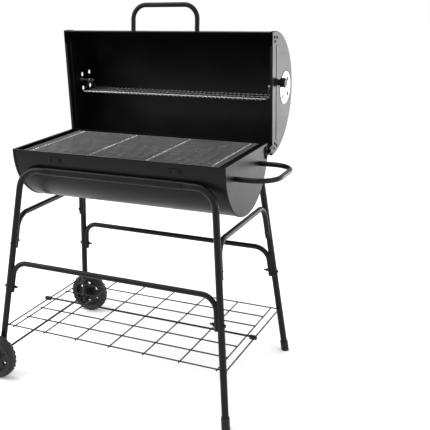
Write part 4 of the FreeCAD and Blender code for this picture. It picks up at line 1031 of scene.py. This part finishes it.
@dataclass
class LegStand:
    """Leg frames, stretchers, braces and the bolts that join them."""

    shop: Workshop
    foot_x: float = 0.426
    foot_y: float = 0.296
    bar_y: float = 0.1937
    bar_z: float = 0.725
    splay: float = 0.072
    splay_height: float = 0.660
    stretcher_z: float = 0.319
    brace_z: float = 0.473
    bolt_x: float = 0.236
    thread_from: float = 0.0280
    bowl_thread_from: float = 0.0228
    long_turns: float = 7.4
    short_turns: float = 1.5

    def dress(self) -> None:
        """Puts finishes on the stand."""
        wear = self.shop.wardrobe
        wear.dress(Slot.TUBE, "front_leg_frame", "rear_leg_frame", "front_stretcher", "rear_stretcher",
                   "left_brace", "right_brace")
        wear.dress(Slot.FASTENER, "stretcher_bolts", "stretcher_nuts", "brace_bolts", "brace_nuts")
        wear.dress(Slot.PLASTIC, "foot_cap_front", "foot_cap_rear", "leg_plugs")

    def leg(self, x_side: int, y_side: int, z: float) -> Vector:
        """Point on a leg's centre line.

        Args:
            x_side: -1 left, 1 right.
            y_side: -1 front, 1 rear.
            z: height.

        Returns:
            The point.
        """
        x = self.foot_x - self.splay * z / self.splay_height
        y = self.foot_y - (self.foot_y - self.bar_y) * z / self.bar_z
        return self.shop.layout.at(x_side * x, y_side * y, z)

    def build(self) -> None:
        """Dresses the stand and winds the threads on its bolts' free ends."""
        self.dress()
        long_ends = []
        short_ends = []
        for x_side in (-1, 1):
            for y_side in (-1, 1):
                inward = Vector((-x_side, 0, 0))
                long_ends.append(Place(self.leg(x_side, y_side, self.stretcher_z) + inward * self.thread_from,
                                       inward))
                inward = Vector((0, -y_side, 0))
                short_ends.append(Place(self.leg(x_side, y_side, self.brace_z) + inward * self.thread_from,
                                        inward))
                inward = Vector((0, -y_side * self.bar_z, self.bar_y - self.foot_y)).normalized()
                crossing = self.shop.layout.at(x_side * self.bolt_x, y_side * self.bar_y, self.bar_z)
                short_ends.append(Place(crossing + inward * self.bowl_thread_from, inward))
        threads = self.shop.dark_threads
        attach(threads.make("stretcher_threads", long_ends, {"Turns": self.long_turns}), Body.STAND)
        attach(threads.make("brace_threads", short_ends, {"Turns": self.short_turns}), Body.STAND)


@dataclass
class Wheels:
    """Two wheels with treaded tyres on one axle."""

    shop: Workshop
    lugs: int = 26
    crown_centre: float = 0.053
    crown_radius: float = 0.0248
    lean: float = math.radians(37)
    row_shift: float = 0.25
    lug_length: float = 0.0105
    lug_width: float = 0.0068
    lug_height: float = 0.0038

    def dress(self) -> None:
        """Puts finishes on the wheels and the axle."""
        wear = self.shop.wardrobe
        wear.dress(Slot.WHEEL, "wheel_rim_front", "wheel_rim_rear")
        wear.dress(Slot.RUBBER, "wheel_tyre_front", "wheel_tyre_rear")
        wear.dress(Slot.WIRE, "axle")
        wear.dress(Slot.ZINC, "axle_caps", "wheel_spacers")

    def tread(self, node: str, name: str, body: Body, recipe: GeometryRecipe) -> None:
        """Sets two rows of lugs round one tyre.

        Args:
            node: the tyre.
            name: name of the new piece.
            body: body of that wheel.
            recipe: the lug recipe.
        """
        low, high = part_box(node)
        centre = (low + high) / 2
        places = []
        for row in (-1, 1):
            for number in range(self.lugs):
                angle = 2 * math.pi * (number + row * self.row_shift) / self.lugs
                radial = Vector((math.cos(angle), 0, math.sin(angle)))
                aim = radial * math.cos(self.lean) + Vector((0, row * math.sin(self.lean), 0))
                places.append(Place(centre + radial * self.crown_centre + aim * self.crown_radius, aim))
        sizes = {"Length": self.lug_length, "Width": self.lug_width, "Height": self.lug_height}
        attach(recipe.make(name, places, sizes), body)

    def build(self) -> None:
        """Dresses the wheels and adds their tread."""
        self.dress()
        recipe = lug_recipe(self.shop.wardrobe.materials[Slot.RUBBER])
        self.tread("wheel_tyre_front", "tread_front", Body.WHEEL_FRONT, recipe)
        self.tread("wheel_tyre_rear", "tread_rear", Body.WHEEL_REAR, recipe)


@dataclass
class BottomShelf:
    """Wire shelf on its rods, with the welds of its mesh."""

    shop: Workshop
    half_x: float = 0.3795
    half_y: float = 0.257
    wire_z: float = 0.1723
    weld_radius: float = 0.0027
    weld_seed: int = 11

    def build(self) -> None:
        """Dresses the shelf and adds its welds."""
        wear = self.shop.wardrobe
        wear.dress(Slot.WIRE, "bottom_shelf", "shelf_side_rods", "shelf_centre_rod")
        wear.dress(Slot.PLASTIC, "centre_rod_caps")
        layout = self.shop.layout
        upward = Vector((0, 0, 1))
        spots = [Place(layout.at(self.half_x * column / 3, self.half_y * row / 3, self.wire_z), upward)
                 for column in range(-3, 4) for row in (-3, -2, -1, 1, 2, 3)]
        recipe = weld_recipe(wear.materials[Slot.WIRE])
        sizes = {"Radius": self.weld_radius, "Seed": self.weld_seed}
        attach(recipe.make("shelf_welds", spots, sizes), Body.STAND)


# ---------------------------------------------------------------- studio

@dataclass(frozen=True)
class Eye:
    """Camera that looks at the grill from the front right, a little above it."""

    layout: Layout
    place: tuple[float, float, float] = (1.209, -2.3178, 1.3465)
    azimuth: float = 0.5081
    elevation: float = 0.2908
    roll: float = -0.0332
    focal: float = 800.54
    centre: tuple[float, float] = (120.34, 211.61)
    width: float = 430.0
    sensor: float = 36.0
    far_clip: float = 60.0

    def build(self) -> None:
        """Makes the camera and gives it to the scene."""
        side = Vector((math.cos(self.azimuth), math.sin(self.azimuth), 0))
        ahead = Vector((-math.sin(self.azimuth) * math.cos(self.elevation),
                        math.cos(self.azimuth) * math.cos(self.elevation), -math.sin(self.elevation)))
        up = side.cross(ahead)
        right = side * math.cos(self.roll) + up * math.sin(self.roll)
        above = up * math.cos(self.roll) - side * math.sin(self.roll)
        lens = bpy.data.cameras.new("grill_camera")
        lens.sensor_width = self.sensor
        lens.lens = self.focal / self.width * self.sensor
        lens.shift_x = (self.width / 2 - self.centre[0]) / self.width
        lens.shift_y = (self.centre[1] - self.width / 2) / self.width
        lens.clip_end = self.far_clip
        camera = bpy.data.objects.new("grill_camera", lens)
        bpy.context.scene.collection.objects.link(camera)
        turn = Matrix((right, above, -ahead)).transposed()
        camera.matrix_world = Matrix.Translation(self.layout.at(*self.place)) @ turn.to_4x4()
        bpy.context.scene.camera = camera


@dataclass(frozen=True)
class Lamp:
    """One soft rectangular light."""

    name: str
    place: tuple[float, float, float]
    target: tuple[float, float, float]
    size: tuple[float, float]
    power: float

    def build(self) -> None:
        """Hangs the light."""
        light = bpy.data.lights.new(self.name, "AREA")
        light.shape = "RECTANGLE"
        light.size, light.size_y = self.size
        light.energy = self.power
        lamp = bpy.data.objects.new(self.name, light)
        bpy.context.scene.collection.objects.link(lamp)
        lamp.location = self.place
        aim = Vector(self.target) - Vector(self.place)
        lamp.rotation_euler = aim.to_track_quat("-Z", "Y").to_euler()


@dataclass(frozen=True)
class Studio:
    """Pale floor, bright surroundings and soft lamps."""

    floor_half: float = 40.0
    floor_colour: Colour = (0.96, 0.96, 0.96)
    floor_roughness: float = 0.9
    floor_specular: float = 0.1
    sky: Colour = (1.0, 1.0, 1.0)
    sky_power: float = 1.05
    lamps: tuple[Lamp, ...] = (
        Lamp("key_lamp", (-3.3, -1.9, 2.2), (0.0, 0.0, 0.7), (2.0, 2.0), 75.0),
        Lamp("side_lamp", (3.2, -0.6, 1.6), (0.2, 0.0, 0.8), (1.4, 2.4), 30.0),
        Lamp("end_lamp", (2.0, 2.6, 0.6), (0.38, 0.1, 0.75), (2.0, 1.0), 36.0),
        Lamp("top_lamp", (-1.05, -0.4, 3.3), (0.2, 0.0, 0.7), (0.9, 3.0), 60.0),
    )

    def floor(self) -> None:
        """Lays the floor."""
        half = self.floor_half
        mesh = bpy.data.meshes.new("studio_floor")
        corners = [(-half, -half, 0), (half, -half, 0), (half, half, 0), (-half, half, 0)]
        mesh.from_pydata(corners, [], [(0, 1, 2, 3)])
        ground = bpy.data.objects.new("studio_floor", mesh)
        bpy.context.scene.collection.objects.link(ground)
        material = bpy.data.materials.new("pale_floor")
        material.use_nodes = True
        shader = material.node_tree.nodes["Principled BSDF"]
        shader.inputs["Base Color"].default_value = (*self.floor_colour, 1)
        shader.inputs["Roughness"].default_value = self.floor_roughness
        shader.inputs["Specular IOR Level"].default_value = self.floor_specular
        mesh.materials.append(material)

    def build(self) -> None:
        """Lays the floor, lights the sky and hangs the lamps."""
        self.floor()
        world = bpy.data.worlds.new("studio_sky")
        world.use_nodes = True
        background = world.node_tree.nodes["Background"]
        background.inputs["Color"].default_value = (*self.sky, 1)
        background.inputs["Strength"].default_value = self.sky_power
        bpy.context.scene.world = world
        for lamp in self.lamps:
            lamp.build()
        bpy.context.scene.view_settings.view_transform = "Standard"


def main() -> None:
    """Builds every sub-assembly, the studio and the camera."""
    layout = Layout.measured()
    shop = Workshop(Wardrobe(), layout)
    for assembly in (FireBowl(shop), Lid(shop), Vents(shop), Grates(shop), LegStand(shop), Wheels(shop),
                     BottomShelf(shop)):
        assembly.build()
        LOG.info("finished %s", type(assembly).__name__)
    Studio().build()
    Eye(layout).build()


if __name__ == "__main__":
    main()
